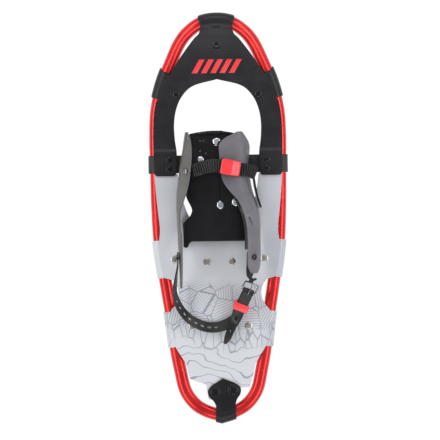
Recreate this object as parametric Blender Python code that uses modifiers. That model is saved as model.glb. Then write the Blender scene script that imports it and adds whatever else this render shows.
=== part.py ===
# A snowshoe with a step-in strap binding, modelled at rest on its crampon teeth.
# Metres. +Y is the direction of travel, +Z is up, X = 0 is the frame's mirror plane.
import math

import bmesh
import bpy
from mathutils import Matrix, Vector

# Gap between pieces that touch
GAP = 0.0003

# Frame tube: overall size, and the two bends that lift the nose and the tail
SHOE_LENGTH = 0.635
SHOE_WIDTH = 0.216
TUBE_RADIUS = 0.010
TUBE_WALL = 0.0015
NOSE_BEND_START = 0.130
NOSE_LIFT = 0.060
TAIL_BEND_START = -0.215
TAIL_LIFT = 0.012
# Half of the frame's centre line, as shares of its half width and half length, tail to nose
FRAME_SHAPE = [
    (0.224, -0.979), (0.388, -0.950), (0.515, -0.906), (0.587, -0.862), (0.653, -0.771),
    (0.714, -0.667), (0.770, -0.520), (0.872, -0.309), (0.955, -0.120), (0.985, 0.070),
    (0.994, 0.250), (1.000, 0.440), (0.977, 0.559), (0.880, 0.689), (0.730, 0.803),
    (0.577, 0.899), (0.449, 0.946), (0.245, 0.988),
]
SPLICE_HALF = 0.030
SPLICE_WALL = 0.0012
SPLICE_CLEARANCE = 0.0010
JOINT_GAP = 0.001

# Ground clearance: the crampon teeth touch the ground at z = 0
TUBE_BOTTOM = 0.014
PLATE = 0.002

# Toe decking
DECK_SHEET = 0.002
WRAP_SHEET = 0.0017
BAND_INSET = 0.0007
NOSE_TAB_HALF = 0.0245
SHOULDER_FRONT = 0.234
SHOULDER_REAR = 0.191
LEG_END = 0.069
LEG_OVERHANG = 0.0035
NOSE_RIVET_Y = 0.276
SHOULDER_RIVET = (0.0645, 0.1985)
SHOULDER_RIVET_INSET = 0.0240
DECK_RIVET_HEAD = 0.0055

# Toe cord
CORD_SHEET = 0.002
CORD_WIDTH = 0.028
CORD_Y = 0.0875
CORD_RIVET_X = 0.0775
CORD_TURNS_WITHIN = 0.0646
CORD_RIVET_PITCH = 0.0145
CORD_RIVET_HEAD = 0.0045

# Rear decking
MID_TAB = (-0.031, -0.091)
LOW_TAB = (-0.143, -0.200)
TAB_RIVET_INSET = 0.0185
SIDE_RIVET = (0.0710, -0.0615)
HEEL_RIVETS = ((0.0190, -0.0665), (0.0445, -0.1675))

# Tail clip
CLIP_CENTRE_X = 0.006
CLIP_TWIST = math.radians(5)
CLIP_SHEET = 0.0022
CLIP_SCREW_Y = -0.2705
CLIP_SCREW_PITCH = 0.029
CLIP_SCREW_HEAD = 0.0070

# Binding: everything that turns about the toe cord
BINDING_X = -0.0065
FOOTBED_HALF_WIDTH = 0.0495
FOOTBED_FRONT = 0.138
FOOTBED_REAR = -0.034
FOOTBED_SHEET = 0.0045
FOOTBED_RIM = 0.006
FOOTBED_RIVETS = ((-0.028, 0.093), (-0.002, 0.122), (0.003, 0.023), (0.027, 0.027))
FOOTBED_RIVET_HEAD = 0.0060
CRAMPON_HALF_WIDTH = 0.040
WING_SHEET = 0.0025
LADDER_WIDTH = 0.0205
LADDER_SHEET = 0.0025
BUCKLE_LENGTH = 0.030
BUCKLE_WALL = 0.0016
PIN_RADIUS = 0.0012
PIN_CLEARANCE = 0.0003

# Heel strap
STRAP_WIDTH = 0.018
STRAP_SHEET = 0.0022
HEEL_PIVOT_Y = -0.059
HEEL_PIVOT_Z = 0.073
WIRE_RADIUS = 0.0013
ROLLER_RADIUS = 0.0024

# Values that follow from the ones above
TUBE_Z = TUBE_BOTTOM + TUBE_RADIUS
HALF_LENGTH = SHOE_LENGTH / 2 - TUBE_RADIUS
HALF_WIDTH = SHOE_WIDTH / 2 - TUBE_RADIUS
DECK_W = TUBE_RADIUS + GAP + DECK_SHEET / 2
DECK_TOP = TUBE_Z + TUBE_RADIUS + GAP + DECK_SHEET
DECK_UNDER = TUBE_Z + TUBE_RADIUS + GAP
NOSE_ANGLE = 2 * math.atan(NOSE_LIFT / (HALF_LENGTH - NOSE_BEND_START))
NOSE_RADIUS = (HALF_LENGTH - NOSE_BEND_START) / math.sin(NOSE_ANGLE)
TAIL_ANGLE = 2 * math.atan(TAIL_LIFT / (HALF_LENGTH + TAIL_BEND_START))
TAIL_RADIUS = (HALF_LENGTH + TAIL_BEND_START) / math.sin(TAIL_ANGLE)
CORD_TOP = DECK_UNDER - GAP
CORD_UNDER = CORD_TOP - CORD_SHEET
FLANGE_UNDER = DECK_TOP + 0.0004
FLANGE_Z = FLANGE_UNDER + WING_SHEET / 2
SIDE_Z = FLANGE_Z + 0.0003
FOOTBED_UNDER = FLANGE_UNDER + WING_SHEET + 0.0010
FOOTBED_TOP = FOOTBED_UNDER + FOOTBED_SHEET
CRAMPON_TOP = CORD_UNDER - GAP
HEEL_PLATE_TOP = DECK_UNDER - WRAP_SHEET - 2 * GAP

COLOURS = {
    "red_metal": ((0.62, 0.02, 0.02, 1), 0.25, 1.0),
    "steel": ((0.55, 0.54, 0.52, 1), 0.35, 1.0),
    "black_polymer": ((0.012, 0.012, 0.014, 1), 0.45, 0.0),
    "pale_decking": ((0.58, 0.60, 0.63, 1), 0.40, 0.0),
    "grey_polymer": ((0.12, 0.12, 0.13, 1), 0.45, 0.0),
    "red_polymer": ((0.75, 0.05, 0.06, 1), 0.35, 0.0),
    "black_steel": ((0.02, 0.02, 0.02, 1), 0.30, 1.0),
    "webbing": ((0.015, 0.015, 0.016, 1), 0.80, 0.0),
}

for old in list(bpy.data.objects):
    bpy.data.objects.remove(old, do_unlink=True)
parts = bpy.data.collections.new("snowshoe")
cutters = bpy.data.collections.new("cutters")
bpy.context.scene.collection.children.link(parts)
bpy.context.scene.collection.children.link(cutters)


def make_material(name):
    colour, roughness, metallic = COLOURS[name]
    material = bpy.data.materials.new(name)
    material.use_nodes = True
    shader = material.node_tree.nodes["Principled BSDF"]
    shader.inputs["Base Color"].default_value = colour
    shader.inputs["Roughness"].default_value = roughness
    shader.inputs["Metallic"].default_value = metallic
    return material


materials = {name: make_material(name) for name in COLOURS}


# ---- Shape helpers

def smooth_path(points, steps):
    """Points along a centripetal Catmull-Rom curve through the given points."""
    knots = [Vector(p) for p in points]
    knots = [2 * knots[0] - knots[1]] + knots + [2 * knots[-1] - knots[-2]]
    path = []
    for p0, p1, p2, p3 in zip(knots, knots[1:], knots[2:], knots[3:]):
        t1 = (p1 - p0).length ** 0.5
        t2 = t1 + (p2 - p1).length ** 0.5
        t3 = t2 + (p3 - p2).length ** 0.5
        for i in range(steps):
            t = t1 + (t2 - t1) * i / steps
            a1 = p0.lerp(p1, t / t1)
            a2 = p1.lerp(p2, (t - t1) / (t2 - t1))
            a3 = p2.lerp(p3, (t - t2) / (t3 - t2))
            b1 = a1.lerp(a2, t / t2)
            b2 = a2.lerp(a3, (t - t1) / (t3 - t1))
            path.append(b1.lerp(b2, (t - t1) / (t2 - t1)))
    return path + [knots[-2]]


def flat_length(y):
    """Distance along the frame at which the bent shoe reaches y."""
    if y > NOSE_BEND_START:
        return NOSE_BEND_START + NOSE_RADIUS * math.asin((y - NOSE_BEND_START) / NOSE_RADIUS)
    if y < TAIL_BEND_START:
        return TAIL_BEND_START + TAIL_RADIUS * math.asin((y - TAIL_BEND_START) / TAIL_RADIUS)
    return y


def bend_angle(s):
    if s > NOSE_BEND_START:
        return (s - NOSE_BEND_START) / NOSE_RADIUS
    if s < TAIL_BEND_START:
        return (s - TAIL_BEND_START) / TAIL_RADIUS
    return 0.0


def bent(x, s, w):
    """A point of the flat shoe, w above its tube's centre, where the bends put it."""
    angle = bend_angle(s)
    start, radius = (NOSE_BEND_START, NOSE_RADIUS) if s > 0 else (TAIL_BEND_START, TAIL_RADIUS)
    y = start + radius * math.sin(angle) if angle else s
    lift = radius * (1 - math.cos(angle))
    return Vector((x, y - w * math.sin(angle), TUBE_Z + lift + w * math.cos(angle)))


def bend_matrix(x, y, w):
    """A frame on the bent shoe: its Z is the decking's normal there."""
    s = flat_length(y)
    return Matrix.Translation(bent(x, s, w)) @ Matrix.Rotation(bend_angle(s), 4, "X")


def add_object(name, data, material, collection=parts):
    made = bpy.data.objects.new(name, data)
    collection.objects.link(made)
    if material:
        data.materials.append(materials[material])
    return made


def frozen(source, name=None):
    """The object with its modifiers applied, as a mesh whose loose caps are welded."""
    bpy.context.view_layer.update()
    graph = bpy.context.evaluated_depsgraph_get()
    mesh = bpy.data.meshes.new_from_object(source.evaluated_get(graph))
    work = bmesh.new()
    work.from_mesh(mesh)
    bmesh.ops.remove_doubles(work, verts=work.verts, dist=1e-6)
    work.to_mesh(mesh)
    work.free()
    collection = source.users_collection[0]
    matrix = source.matrix_world.copy()
    label = name or source.name
    bpy.data.objects.remove(source, do_unlink=True)
    made = bpy.data.objects.new(label, mesh)
    collection.objects.link(made)
    made.matrix_world = matrix
    return made


def plate(name, outline, holes, bottom, thickness, material, collection=parts):
    """A flat sheet lying at z = bottom: an outline, and round holes (x, y, radius)."""
    curve = bpy.data.curves.new(name, "CURVE")
    curve.dimensions = "2D"
    curve.fill_mode = "BOTH"
    curve.extrude = thickness / 2
    rings = [outline]
    for x, y, radius in holes:
        turns = [i * math.tau / 12 for i in range(12)]
        rings.append([(x + radius * math.cos(a), y + radius * math.sin(a)) for a in turns])
    for ring in rings:
        spline = curve.splines.new("POLY")
        spline.points.add(len(ring) - 1)
        for point, (x, y) in zip(spline.points, [(p[0], p[1]) for p in ring]):
            point.co = (x, y, 0, 1)
        spline.use_cyclic_u = True
    made = add_object(name, curve, material, collection)
    made.location.z = bottom + thickness / 2
    return frozen(made)


def sheet(name, rows, thickness, material, offset=0.0, collection=parts):
    """A thin shell over a grid of points."""
    work = bmesh.new()
    grid = [[work.verts.new(p) for p in row] for row in rows]
    for low, high in zip(grid, grid[1:]):
        for a, b, c, d in zip(low, low[1:], high[1:], high):
            work.faces.new((a, b, c, d))
    mesh = bpy.data.meshes.new(name)
    work.to_mesh(mesh)
    work.free()
    made = add_object(name, mesh, material, collection)
    solid = made.modifiers.new("Thickness", "SOLIDIFY")
    solid.thickness = thickness
    solid.offset = offset
    solid.use_even_offset = True
    return frozen(made)


def wire(name, path, radius, material, sides=2, closed=False, caps=True, collection=parts):
    curve = bpy.data.curves.new(name, "CURVE")
    curve.dimensions = "3D"
    curve.bevel_depth = radius
    curve.bevel_resolution = sides
    curve.use_fill_caps = caps
    spline = curve.splines.new("POLY")
    spline.points.add(len(path) - 1)
    for point, place in zip(spline.points, path):
        point.co = (*place, 1)
    spline.use_cyclic_u = closed
    return frozen(add_object(name, curve, material, collection))


def turned(name, profile, matrix, material, steps=12, collection=parts):
    """A shape turned about Z from (radius, height) pairs, listed top to bottom."""
    work = bmesh.new()
    points = [work.verts.new((radius, 0, height)) for radius, height in profile]
    for a, b in zip(points, points[1:]):
        work.edges.new((a, b))
    mesh = bpy.data.meshes.new(name)
    work.to_mesh(mesh)
    work.free()
    made = add_object(name, mesh, material, collection)
    screw = made.modifiers.new("Turn", "SCREW")
    screw.steps = steps
    screw.render_steps = steps
    screw.use_merge_vertices = True
    screw.merge_threshold = 0.00001
    made = frozen(made)
    made.matrix_world = matrix
    return made


def block(name, size, centre, material, collection=parts):
    work = bmesh.new()
    bmesh.ops.create_cube(work, size=1.0)
    bmesh.ops.scale(work, vec=size, verts=work.verts)
    bmesh.ops.translate(work, vec=centre, verts=work.verts)
    mesh = bpy.data.meshes.new(name)
    work.to_mesh(mesh)
    work.free()
    return add_object(name, mesh, material, collection)


def combined(base, others, operation):
    """Boolean of base with the others, which are used up."""
    for other in others:
        cut = base.modifiers.new(operation.title(), "BOOLEAN")
        cut.operation = operation
        cut.solver = "EXACT"
        cut.object = other
    made = frozen(base)
    for other in others:
        bpy.data.objects.remove(other, do_unlink=True)
    return made


def drilled(base, places, radius, depth=0.2):
    """Round holes along Z at the given (x, y) places."""
    for index, (x, y) in enumerate(places):
        profile = [(0, depth), (radius, depth), (radius, -depth), (0, -depth)]
        matrix = Matrix.Translation((x, y, 0))
        cutter = turned(f"{base.name}_drill_{index}", profile, matrix, None, collection=cutters)
        base = combined(base, [cutter], "DIFFERENCE")
    return base


def bend_sheet(made, spacing=0.012):
    """Cuts a flat piece across, then bends it as the frame bends."""
    work = bmesh.new()
    work.from_mesh(made.data)
    work.transform(made.matrix_world)
    low = min(v.co.y for v in work.verts)
    high = max(v.co.y for v in work.verts)
    stations = [NOSE_BEND_START + spacing * i for i in range(int(0.25 / spacing))]
    stations += [TAIL_BEND_START - spacing * i for i in range(int(0.12 / spacing))]
    for station in stations:
        if low < station < high:
            every = work.verts[:] + work.edges[:] + work.faces[:]
            bmesh.ops.bisect_plane(
                work, geom=every, dist=1e-7, plane_co=(0, station, 0), plane_no=(0, 1, 0)
            )
    bmesh.ops.triangulate(work, faces=work.faces[:])
    for vert in work.verts:
        vert.co = bent(vert.co.x, vert.co.y, vert.co.z - TUBE_Z)
    work.to_mesh(made.data)
    work.free()
    made.matrix_world = Matrix.Identity(4)
    return made


def bored(base, matrix, radius, depth=0.012):
    """A round hole along the matrix's Z, reaching depth to each side of its origin."""
    profile = [(0, depth), (radius, depth), (radius, -depth), (0, -depth)]
    cutter = turned(f"{base.name}_bore", profile, matrix, None, collection=cutters)
    return combined(base, [cutter], "DIFFERENCE")


# ---- Frame line

def frame_line():
    """The tube's centre line in the flat shoe, from one side of its tail joint to the other."""
    half = [(a * HALF_WIDTH, flat_length(b * HALF_LENGTH)) for a, b in FRAME_SHAPE]
    tail = flat_length(-HALF_LENGTH)
    right = [(JOINT_GAP / 2, tail)] + half
    nose = [(0.0, flat_length(HALF_LENGTH))]
    left = [(-x, s) for x, s in reversed(right)]
    return smooth_path([(x, s, TUBE_Z) for x, s in right + nose + left], 2)


LINE = frame_line()
MIDDLE = len(LINE) // 2


def tube_x(y):
    """Distance of the tube's centre line from X = 0 at y."""
    s = flat_length(y)
    for low, high in zip(LINE[:MIDDLE], LINE[1:]):
        if low.y <= s <= high.y:
            return low.x + (high.x - low.x) * (s - low.y) / (high.y - low.y)
    return 0.0


def flat(points):
    return [(x, flat_length(y)) for x, y in points]


def round_the_tube(radius, reach, height, start=90.0, step=20.0):
    """Section of a sheet from the tube's top, round its outer side and straight to a point inboard."""
    target = Vector((-reach, height))
    end = math.degrees(math.atan2(height, -reach) + math.acos(radius / target.length)) - 360
    count = math.ceil((start - end) / step)
    turns = [math.radians(start + (end - start) * i / count) for i in range(count + 1)]
    return [(radius * math.cos(a), radius * math.sin(a)) for a in turns] + [tuple(target)]


def wrap_profile(radius, lead_in, rivet, flap_w):
    """The same sheet with its lead-in over the deck, and a flat flap where a rivet holds it."""
    around = round_the_tube(radius, rivet - 0.0045, flap_w)
    return [(-lead_in, radius)] + around + [(-rivet - 0.0055, flap_w)]


def side_band(name, y_front, y_rear, side, profile, thickness, count=4):
    """A band of sheet wrapped round one side of the tube between two places along it."""
    rows = []
    y_front -= BAND_INSET
    y_rear += BAND_INSET
    for i in range(count + 1):
        y = y_front + (y_rear - y_front) * i / count
        step = 0.002
        slope = (tube_x(y + step) - tube_x(y - step)) / (
            flat_length(y + step) - flat_length(y - step)
        )
        outward = Vector((1, -slope, 0)).normalized()
        centre = Vector((tube_x(y), flat_length(y), TUBE_Z))
        row = [centre + outward * u + Vector((0, 0, w)) for u, w in profile]
        rows.append([Vector((side * p.x, p.y, p.z)) for p in row])
    return sheet(name, rows, thickness, None)


def end_station(x, end):
    """The tube's centre and outward direction at x, on the nose (end 1) or the tail (end -1)."""
    for low, high in zip(LINE, LINE[1:]):
        if end * low.y > 0.9 * HALF_LENGTH and min(low.x, high.x) <= x <= max(low.x, high.x):
            share = (x - low.x) / (high.x - low.x)
            along = (high - low).normalized()
            outward = Vector((-along.y, along.x, 0))
            return low.lerp(high, share), outward if outward.y * end > 0 else -outward
    return end_station(math.copysign(JOINT_GAP / 2, x) * 1.001, end)


def end_band(name, x_low, x_high, end, profile, thickness, count=6):
    """A band wrapped round the nose or the tail between two places across."""
    rows = []
    for i in range(count + 1):
        centre, outward = end_station(x_low + (x_high - x_low) * i / count, end)
        rows.append([centre + outward * u + Vector((0, 0, w)) for u, w in profile])
    return sheet(name, rows, thickness, None)


# ---- Frame pieces

def make_frame_tube():
    tube = wire("frame_tube", LINE, TUBE_RADIUS, "red_metal", sides=3, caps=False)
    wall = tube.modifiers.new("Wall", "SOLIDIFY")
    wall.thickness = TUBE_WALL
    wall.offset = -1
    wall.use_even_offset = True
    return bend_sheet(frozen(tube), spacing=1.0)


def make_tail_splice():
    near = [p for p in LINE[MIDDLE:] if p.y < -HALF_LENGTH * 0.9 and abs(p.x) < SPLICE_HALF]
    path = [Vector((-p.x, p.y, p.z)) for p in near] + list(reversed(near))
    path = sorted(path, key=lambda p: -p.x)
    radius = TUBE_RADIUS - TUBE_WALL - SPLICE_CLEARANCE
    splice = wire("tail_splice", path, radius, "steel", sides=3, caps=False)
    wall = splice.modifiers.new("Wall", "SOLIDIFY")
    wall.thickness = SPLICE_WALL
    wall.offset = -1
    return bend_sheet(frozen(splice), spacing=1.0)


def make_toe_deck():
    shoulder = [(tube_x(y), y) for y in (SHOULDER_FRONT, 0.220, 0.205, SHOULDER_REAR)]
    leg = [(tube_x(y) + LEG_OVERHANG, y) for y in (0.188, 0.170, 0.145, 0.100, LEG_END + 0.006)]
    corner = [(tube_x(LEG_END) - 0.003, LEG_END), (0.0690, LEG_END)]
    inner = smooth_path([
        (0.0655, LEG_END + 0.004, 0), (0.0645, 0.104, 0), (0.0675, 0.128, 0), (0.0680, 0.155, 0),
        (0.0640, 0.177, 0), (0.0560, 0.195, 0), (0.0400, 0.2115, 0), (0.0, 0.2230, 0),
    ], 2)
    outer = [
        (NOSE_TAB_HALF, HALF_LENGTH), (0.0275, 0.2935), (0.0345, 0.2865), (0.0540, 0.2615),
        (0.0620, 0.2500), (0.0720, 0.2320), (0.0790, 0.2300),
    ]
    half = [(0.0, HALF_LENGTH)] + outer + shoulder + leg + corner + [(p.x, p.y) for p in inner]
    outline = flat(half + [(-x, y) for x, y in reversed(half[1:-1])])
    deck = plate("toe_deck", outline, [], DECK_UNDER, DECK_SHEET, "black_polymer")
    flap_w = DECK_W - DECK_SHEET / 2 - GAP - WRAP_SHEET / 2
    reach = HALF_LENGTH - NOSE_RIVET_Y
    nose_half = NOSE_TAB_HALF - BAND_INSET
    bands = [end_band("nose_wrap", -nose_half, nose_half, 1,
                      wrap_profile(DECK_W + 0.0002, 0.006, reach, flap_w), WRAP_SHEET)]
    for side in (-1, 1):
        profile = wrap_profile(DECK_W, 0.006, SHOULDER_RIVET_INSET, flap_w)
        bands.append(side_band("wrap", SHOULDER_FRONT, SHOULDER_REAR, side, profile, WRAP_SHEET))
    deck = combined(deck, bands, "UNION")
    holes = [(0.0, flat_length(NOSE_RIVET_Y))]
    holes += [(side * SHOULDER_RIVET[0], flat_length(SHOULDER_RIVET[1])) for side in (-1, 1)]
    deck = drilled(deck, holes, 0.0024)
    holes = [(s * CORD_RIVET_X, CORD_Y + e * CORD_RIVET_PITCH / 2) for s in (-1, 1) for e in (-1, 1)]
    deck = drilled(deck, holes, 0.0022)
    return bend_sheet(raise_over_cord(deck))


def raise_over_cord(deck):
    """Lifts the legs' rear ends over the toe cord, with a short ramp."""
    work = bmesh.new()
    work.from_mesh(deck.data)
    work.transform(deck.matrix_world)
    front = CORD_Y + CORD_WIDTH / 2 + 0.004
    ramp = 0.008
    for station in (front, front + ramp):
        every = work.verts[:] + work.edges[:] + work.faces[:]
        bmesh.ops.bisect_plane(
            work, geom=every, dist=1e-7, plane_co=(0, station, 0), plane_no=(0, 1, 0)
        )
    for vert in work.verts:
        share = min(max((front + ramp - vert.co.y) / ramp, 0), 1)
        vert.co.z += share * (CORD_SHEET + 2 * GAP)
    work.to_mesh(deck.data)
    work.free()
    deck.matrix_world = Matrix.Identity(4)
    return deck


def make_toe_cord(name, side, inner_x):
    """The cord from where it starts to turn, over the tube, round it and back under itself."""
    over = TUBE_RADIUS + GAP + CORD_SHEET / 2
    flat_w = (CORD_TOP + CORD_UNDER) / 2 - TUBE_Z
    centre = tube_x(CORD_Y)
    under = flat_w - CORD_SHEET - GAP
    section = [(inner_x, flat_w), (centre - 0.015, flat_w)]
    section += [(centre + u, w) for u, w in round_the_tube(over, 0.0165, under)]
    section += [(centre - 0.027, under)]
    ends = (CORD_Y + CORD_WIDTH / 2, CORD_Y - CORD_WIDTH / 2)
    rows = [[(side * x, y, TUBE_Z + w) for x, w in section] for y in ends]
    cord = sheet(name, rows, CORD_SHEET, "webbing")
    holes = [(side * CORD_RIVET_X, CORD_Y + end * CORD_RIVET_PITCH / 2) for end in (-1, 1)]
    return drilled(cord, holes, 0.0022)


def make_rear_deck():
    front = CORD_Y - CORD_WIDTH / 2 - 0.001
    opening = smooth_path([
        (0.0, -0.016, 0), (0.034, -0.012, 0), (0.046, 0.004, 0), (0.056, 0.030, 0),
        (0.0605, 0.050, 0), (0.0635, front, 0),
    ], 2)
    side = [(tube_x(y) + d, y) for y, d in ((front, 0.003), (0.032, 0.0005), (-0.007, -0.0025))]
    side += [(tube_x(-0.022) - 0.0015, -0.022)]
    mid_tab = [(tube_x(y), y) for y in (MID_TAB[0], -0.05, -0.07, MID_TAB[1])]
    cut = smooth_path([
        (0.0745, MID_TAB[1] - 0.003, 0), (0.0680, -0.102, 0), (0.0650, -0.1135, 0),
        (0.0665, -0.125, 0), (0.0705, -0.1335, 0),
    ], 1)
    low_tab = [(tube_x(y), y) for y in (LOW_TAB[0], -0.16, -0.18, LOW_TAB[1])]
    tail = [
        (0.0660, -0.2080), (0.0590, -0.2190), (0.0540, -0.2285), (0.0515, -0.2400),
        (0.0480, -0.2530), (0.0440, -0.2640), (0.0240, -0.2665), (0.0200, -0.2840),
    ]
    half = [(p.x, p.y) for p in opening] + side + mid_tab + [(p.x, p.y) for p in cut]
    half += low_tab + tail
    outline = flat(half + [(-x, y) for x, y in reversed(half[1:])])
    deck = plate("rear_deck", outline, [], DECK_UNDER, DECK_SHEET, "pale_decking")
    flap_w = DECK_W - DECK_SHEET / 2 - GAP - WRAP_SHEET / 2
    bands = []
    for tab in (MID_TAB, LOW_TAB):
        for turn in (-1, 1):
            profile = wrap_profile(DECK_W, 0.006, TAB_RIVET_INSET, flap_w)
            bands.append(side_band("wrap", tab[0], tab[1], turn, profile, WRAP_SHEET))
    deck = combined(deck, bands, "UNION")
    holes = [(s * SIDE_RIVET[0], SIDE_RIVET[1]) for s in (-1, 1)]
    holes += [(s * x, y) for x, y in HEEL_RIVETS for s in (-1, 1)]
    holes += [tuple(p) for p in clip_screw_places()]
    return bend_sheet(drilled(deck, holes, 0.0022))


def clip_point(x, y):
    """A place on the tail clip, which sits a little askew on the tube, in the flat shoe."""
    pivot = Vector((CLIP_CENTRE_X, flat_length(-0.285), 0))
    return pivot + Matrix.Rotation(CLIP_TWIST, 3, "Z") @ Vector((x, flat_length(y) - pivot.y, 0))


def clip_screw_places():
    half = CLIP_SCREW_PITCH / 2
    return [clip_point(turn * half, CLIP_SCREW_Y).xy for turn in (-1, 1)]


def make_tail_clip():
    half = [
        (0.0, -0.2510), (0.0095, -0.2560), (0.0200, -0.2610), (0.0260, -0.2690),
        (0.0245, -0.2780), (0.0180, -0.2860), (0.0155, -0.2930), (0.0155, -0.3000),
    ]
    outline = half + [(-x, y) for x, y in reversed(half[1:])]
    outline = [clip_point(x, y).xy for x, y in outline]
    under = DECK_TOP + GAP
    clip = plate("tail_clip", outline, [], under, CLIP_SHEET, "black_polymer")
    mid = under + CLIP_SHEET / 2 - TUBE_Z
    hug = TUBE_RADIUS + 0.0008 + CLIP_SHEET / 2
    turns = [math.radians(75 - 20.625 * i) for i in range(9)]
    profile = [(-0.0125, mid), (-0.0085, mid)]
    profile += [(hug * math.cos(a), hug * math.sin(a)) for a in turns]
    low = CLIP_CENTRE_X - 0.0150
    high = CLIP_CENTRE_X + 0.0165
    band = end_band("clip_wrap", low, high, -1, profile, CLIP_SHEET - 0.0003)
    clip = combined(clip, [band], "UNION")
    return bend_sheet(drilled(clip, clip_screw_places(), 0.0024), spacing=0.01)


def make_tail_clip_plate():
    half = [(0.0, -0.2600), (0.0190, -0.2640), (0.0215, -0.2710), (0.0190, -0.2800), (0.0, -0.2850)]
    outline = half + [(-x, y) for x, y in reversed(half[1:-1])]
    outline = [clip_point(x, y).xy for x, y in outline]
    bottom = DECK_UNDER - GAP - PLATE
    backing = plate("tail_clip_plate", outline, [], bottom, PLATE, "black_polymer")
    return bend_sheet(drilled(backing, clip_screw_places(), 0.0022), spacing=0.01)


def rivet_profile(head, above, below, shank=0.0019, dome=0.0018):
    """A domed head above, a shank, and a formed end below, from the seat at height 0."""
    foot = shank + 0.0013
    return [
        (0.0, above + dome), (head * 0.55, above + dome * 0.82), (head, above + dome * 0.25),
        (head, above), (shank, above), (shank, below), (foot, below), (foot, below - 0.0012),
        (0.0, below - 0.0012),
    ]


def make_rivet(name, x, y, head, above, below, material):
    """above and below are heights over the tube's centre that the rivet clamps between."""
    matrix = bend_matrix(x, y, 0.0)
    return turned(name, rivet_profile(head, above + GAP, below - GAP), matrix, material)


make_frame_tube()
make_tail_splice()
make_toe_deck()
make_rear_deck()
make_tail_clip()
make_tail_clip_plate()
make_toe_cord("toe_cord_left", -1, CORD_TURNS_WITHIN + GAP)
make_toe_cord("toe_cord_right", 1, CORD_TURNS_WITHIN + GAP)

sheet_w = DECK_W + DECK_SHEET / 2
flap_bottom = DECK_W - DECK_SHEET / 2 - GAP - WRAP_SHEET
make_rivet("nose_rivet", 0, NOSE_RIVET_Y, DECK_RIVET_HEAD, sheet_w, flap_bottom, "black_steel")
raised_w = sheet_w + CORD_SHEET + 2 * GAP
cord_bottom = CORD_UNDER - GAP - CORD_SHEET - TUBE_Z
crampon_under = HEEL_PLATE_TOP - PLATE - TUBE_Z
for side, word in ((-1, "left"), (1, "right")):
    x, y = SHOULDER_RIVET
    make_rivet(f"shoulder_rivet_{word}", side * x, y, DECK_RIVET_HEAD, sheet_w, flap_bottom,
               "black_steel")
    for end, place in ((1, "front"), (-1, "rear")):
        y = CORD_Y + end * CORD_RIVET_PITCH / 2
        make_rivet(f"cord_rivet_{word}_{place}", side * CORD_RIVET_X, y, CORD_RIVET_HEAD,
                   raised_w, cord_bottom, "black_steel")
    x, y = SIDE_RIVET
    make_rivet(f"side_rivet_{word}", side * x, y, 0.0062, sheet_w, flap_bottom, "steel")
    for (x, y), place in zip(HEEL_RIVETS, ("front", "rear")):
        make_rivet(f"heel_rivet_{word}_{place}", side * x, y, 0.0062, sheet_w, crampon_under,
                   "steel")
clip_w = DECK_TOP + GAP + CLIP_SHEET - TUBE_Z
backing_w = DECK_UNDER - GAP - PLATE - TUBE_Z
for (x, s), word in zip(clip_screw_places(), ("left", "right")):
    y = bent(x, s, 0).y
    make_rivet(f"tail_screw_{word}", x, y, CLIP_SCREW_HEAD, clip_w, backing_w, "black_steel")


# ---- Crampons

def tooth_edge(length, depth, count, valley):
    """A comb of teeth along the bottom, its valleys on a shallow arch."""
    pitch = length / count
    points = []
    for i in range(count):
        points.append((i * pitch, -valley + 0.0012 * math.sin(math.pi * i / count)))
        points.append(((i + 0.42) * pitch, -depth))
        points.append(((i + 0.58) * pitch, -depth))
    return points + [(length, -valley)]


def toothed_wall(name, start, end, top, depth, count, valley):
    """An upright toothed plate between two plan points, its top edge at height top."""
    start = Vector((*start, 0))
    along = Vector((*end, 0)) - start
    points = [(0, 0)] + tooth_edge(along.length, depth, count, valley) + [(along.length, 0)]
    wall = plate(name, points, [], -PLATE / 2, PLATE, None)
    turn = math.atan2(along.y, along.x)
    wall.data.transform(
        Matrix.Translation((start.x, start.y, top))
        @ Matrix.Rotation(turn, 4, "Z")
        @ Matrix.Rotation(math.pi / 2, 4, "X")
        @ wall.matrix_world
    )
    wall.matrix_world = Matrix.Identity(4)
    return wall


def make_heel_crampon():
    """A V of toothed plate under the rear decking, narrow end forward."""
    bottom = HEEL_PLATE_TOP - PLATE
    outline = [
        (-0.028, -0.056), (0.028, -0.056), (0.054, -0.177), (0.038, -0.180), (0.017, -0.084),
        (-0.017, -0.084), (-0.038, -0.180), (-0.054, -0.177),
    ]
    crampon = plate("heel_crampon", outline, [], bottom, PLATE, "steel")
    depth = bottom + PLATE / 2
    walls = [
        toothed_wall("wall", (side * 0.0265, -0.058), (side * 0.0515, -0.176),
                     bottom + PLATE / 2, depth, 5, 0.008)
        for side in (-1, 1)
    ]
    crampon = combined(crampon, walls, "UNION")
    return drilled(crampon, [(s * x, y) for x, y in HEEL_RIVETS for s in (-1, 1)], 0.0022)


def make_toe_crampon():
    """A toothed tray clamped under the toe cord."""
    bottom = CRAMPON_TOP - PLATE
    left = BINDING_X - CRAMPON_HALF_WIDTH
    right = BINDING_X + CRAMPON_HALF_WIDTH
    front = FOOTBED_FRONT - 0.006
    outline = [(left, 0.058), (right, 0.058), (right, 0.120), (right - 0.006, front),
               (left + 0.006, front), (left, 0.120)]
    crampon = plate("toe_crampon", outline, [], bottom, PLATE, "steel")
    seat = bottom + PLATE / 2
    inset = PLATE * 0.6
    walls = [
        toothed_wall("wall", (x, 0.060), (x, 0.119), seat, seat, 3, 0.009)
        for x in (left + inset, right - inset)
    ]
    walls.append(toothed_wall("wall", (left + 0.009, front - inset), (right - 0.009, front - inset),
                              seat, seat, 5, 0.009))
    crampon = combined(crampon, walls, "UNION")
    holes = [(x, y) for x, y in FOOTBED_RIVETS if y > 0.06]
    return drilled(crampon, holes, 0.0022)


make_heel_crampon()
make_toe_crampon()


# ---- Binding

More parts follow.
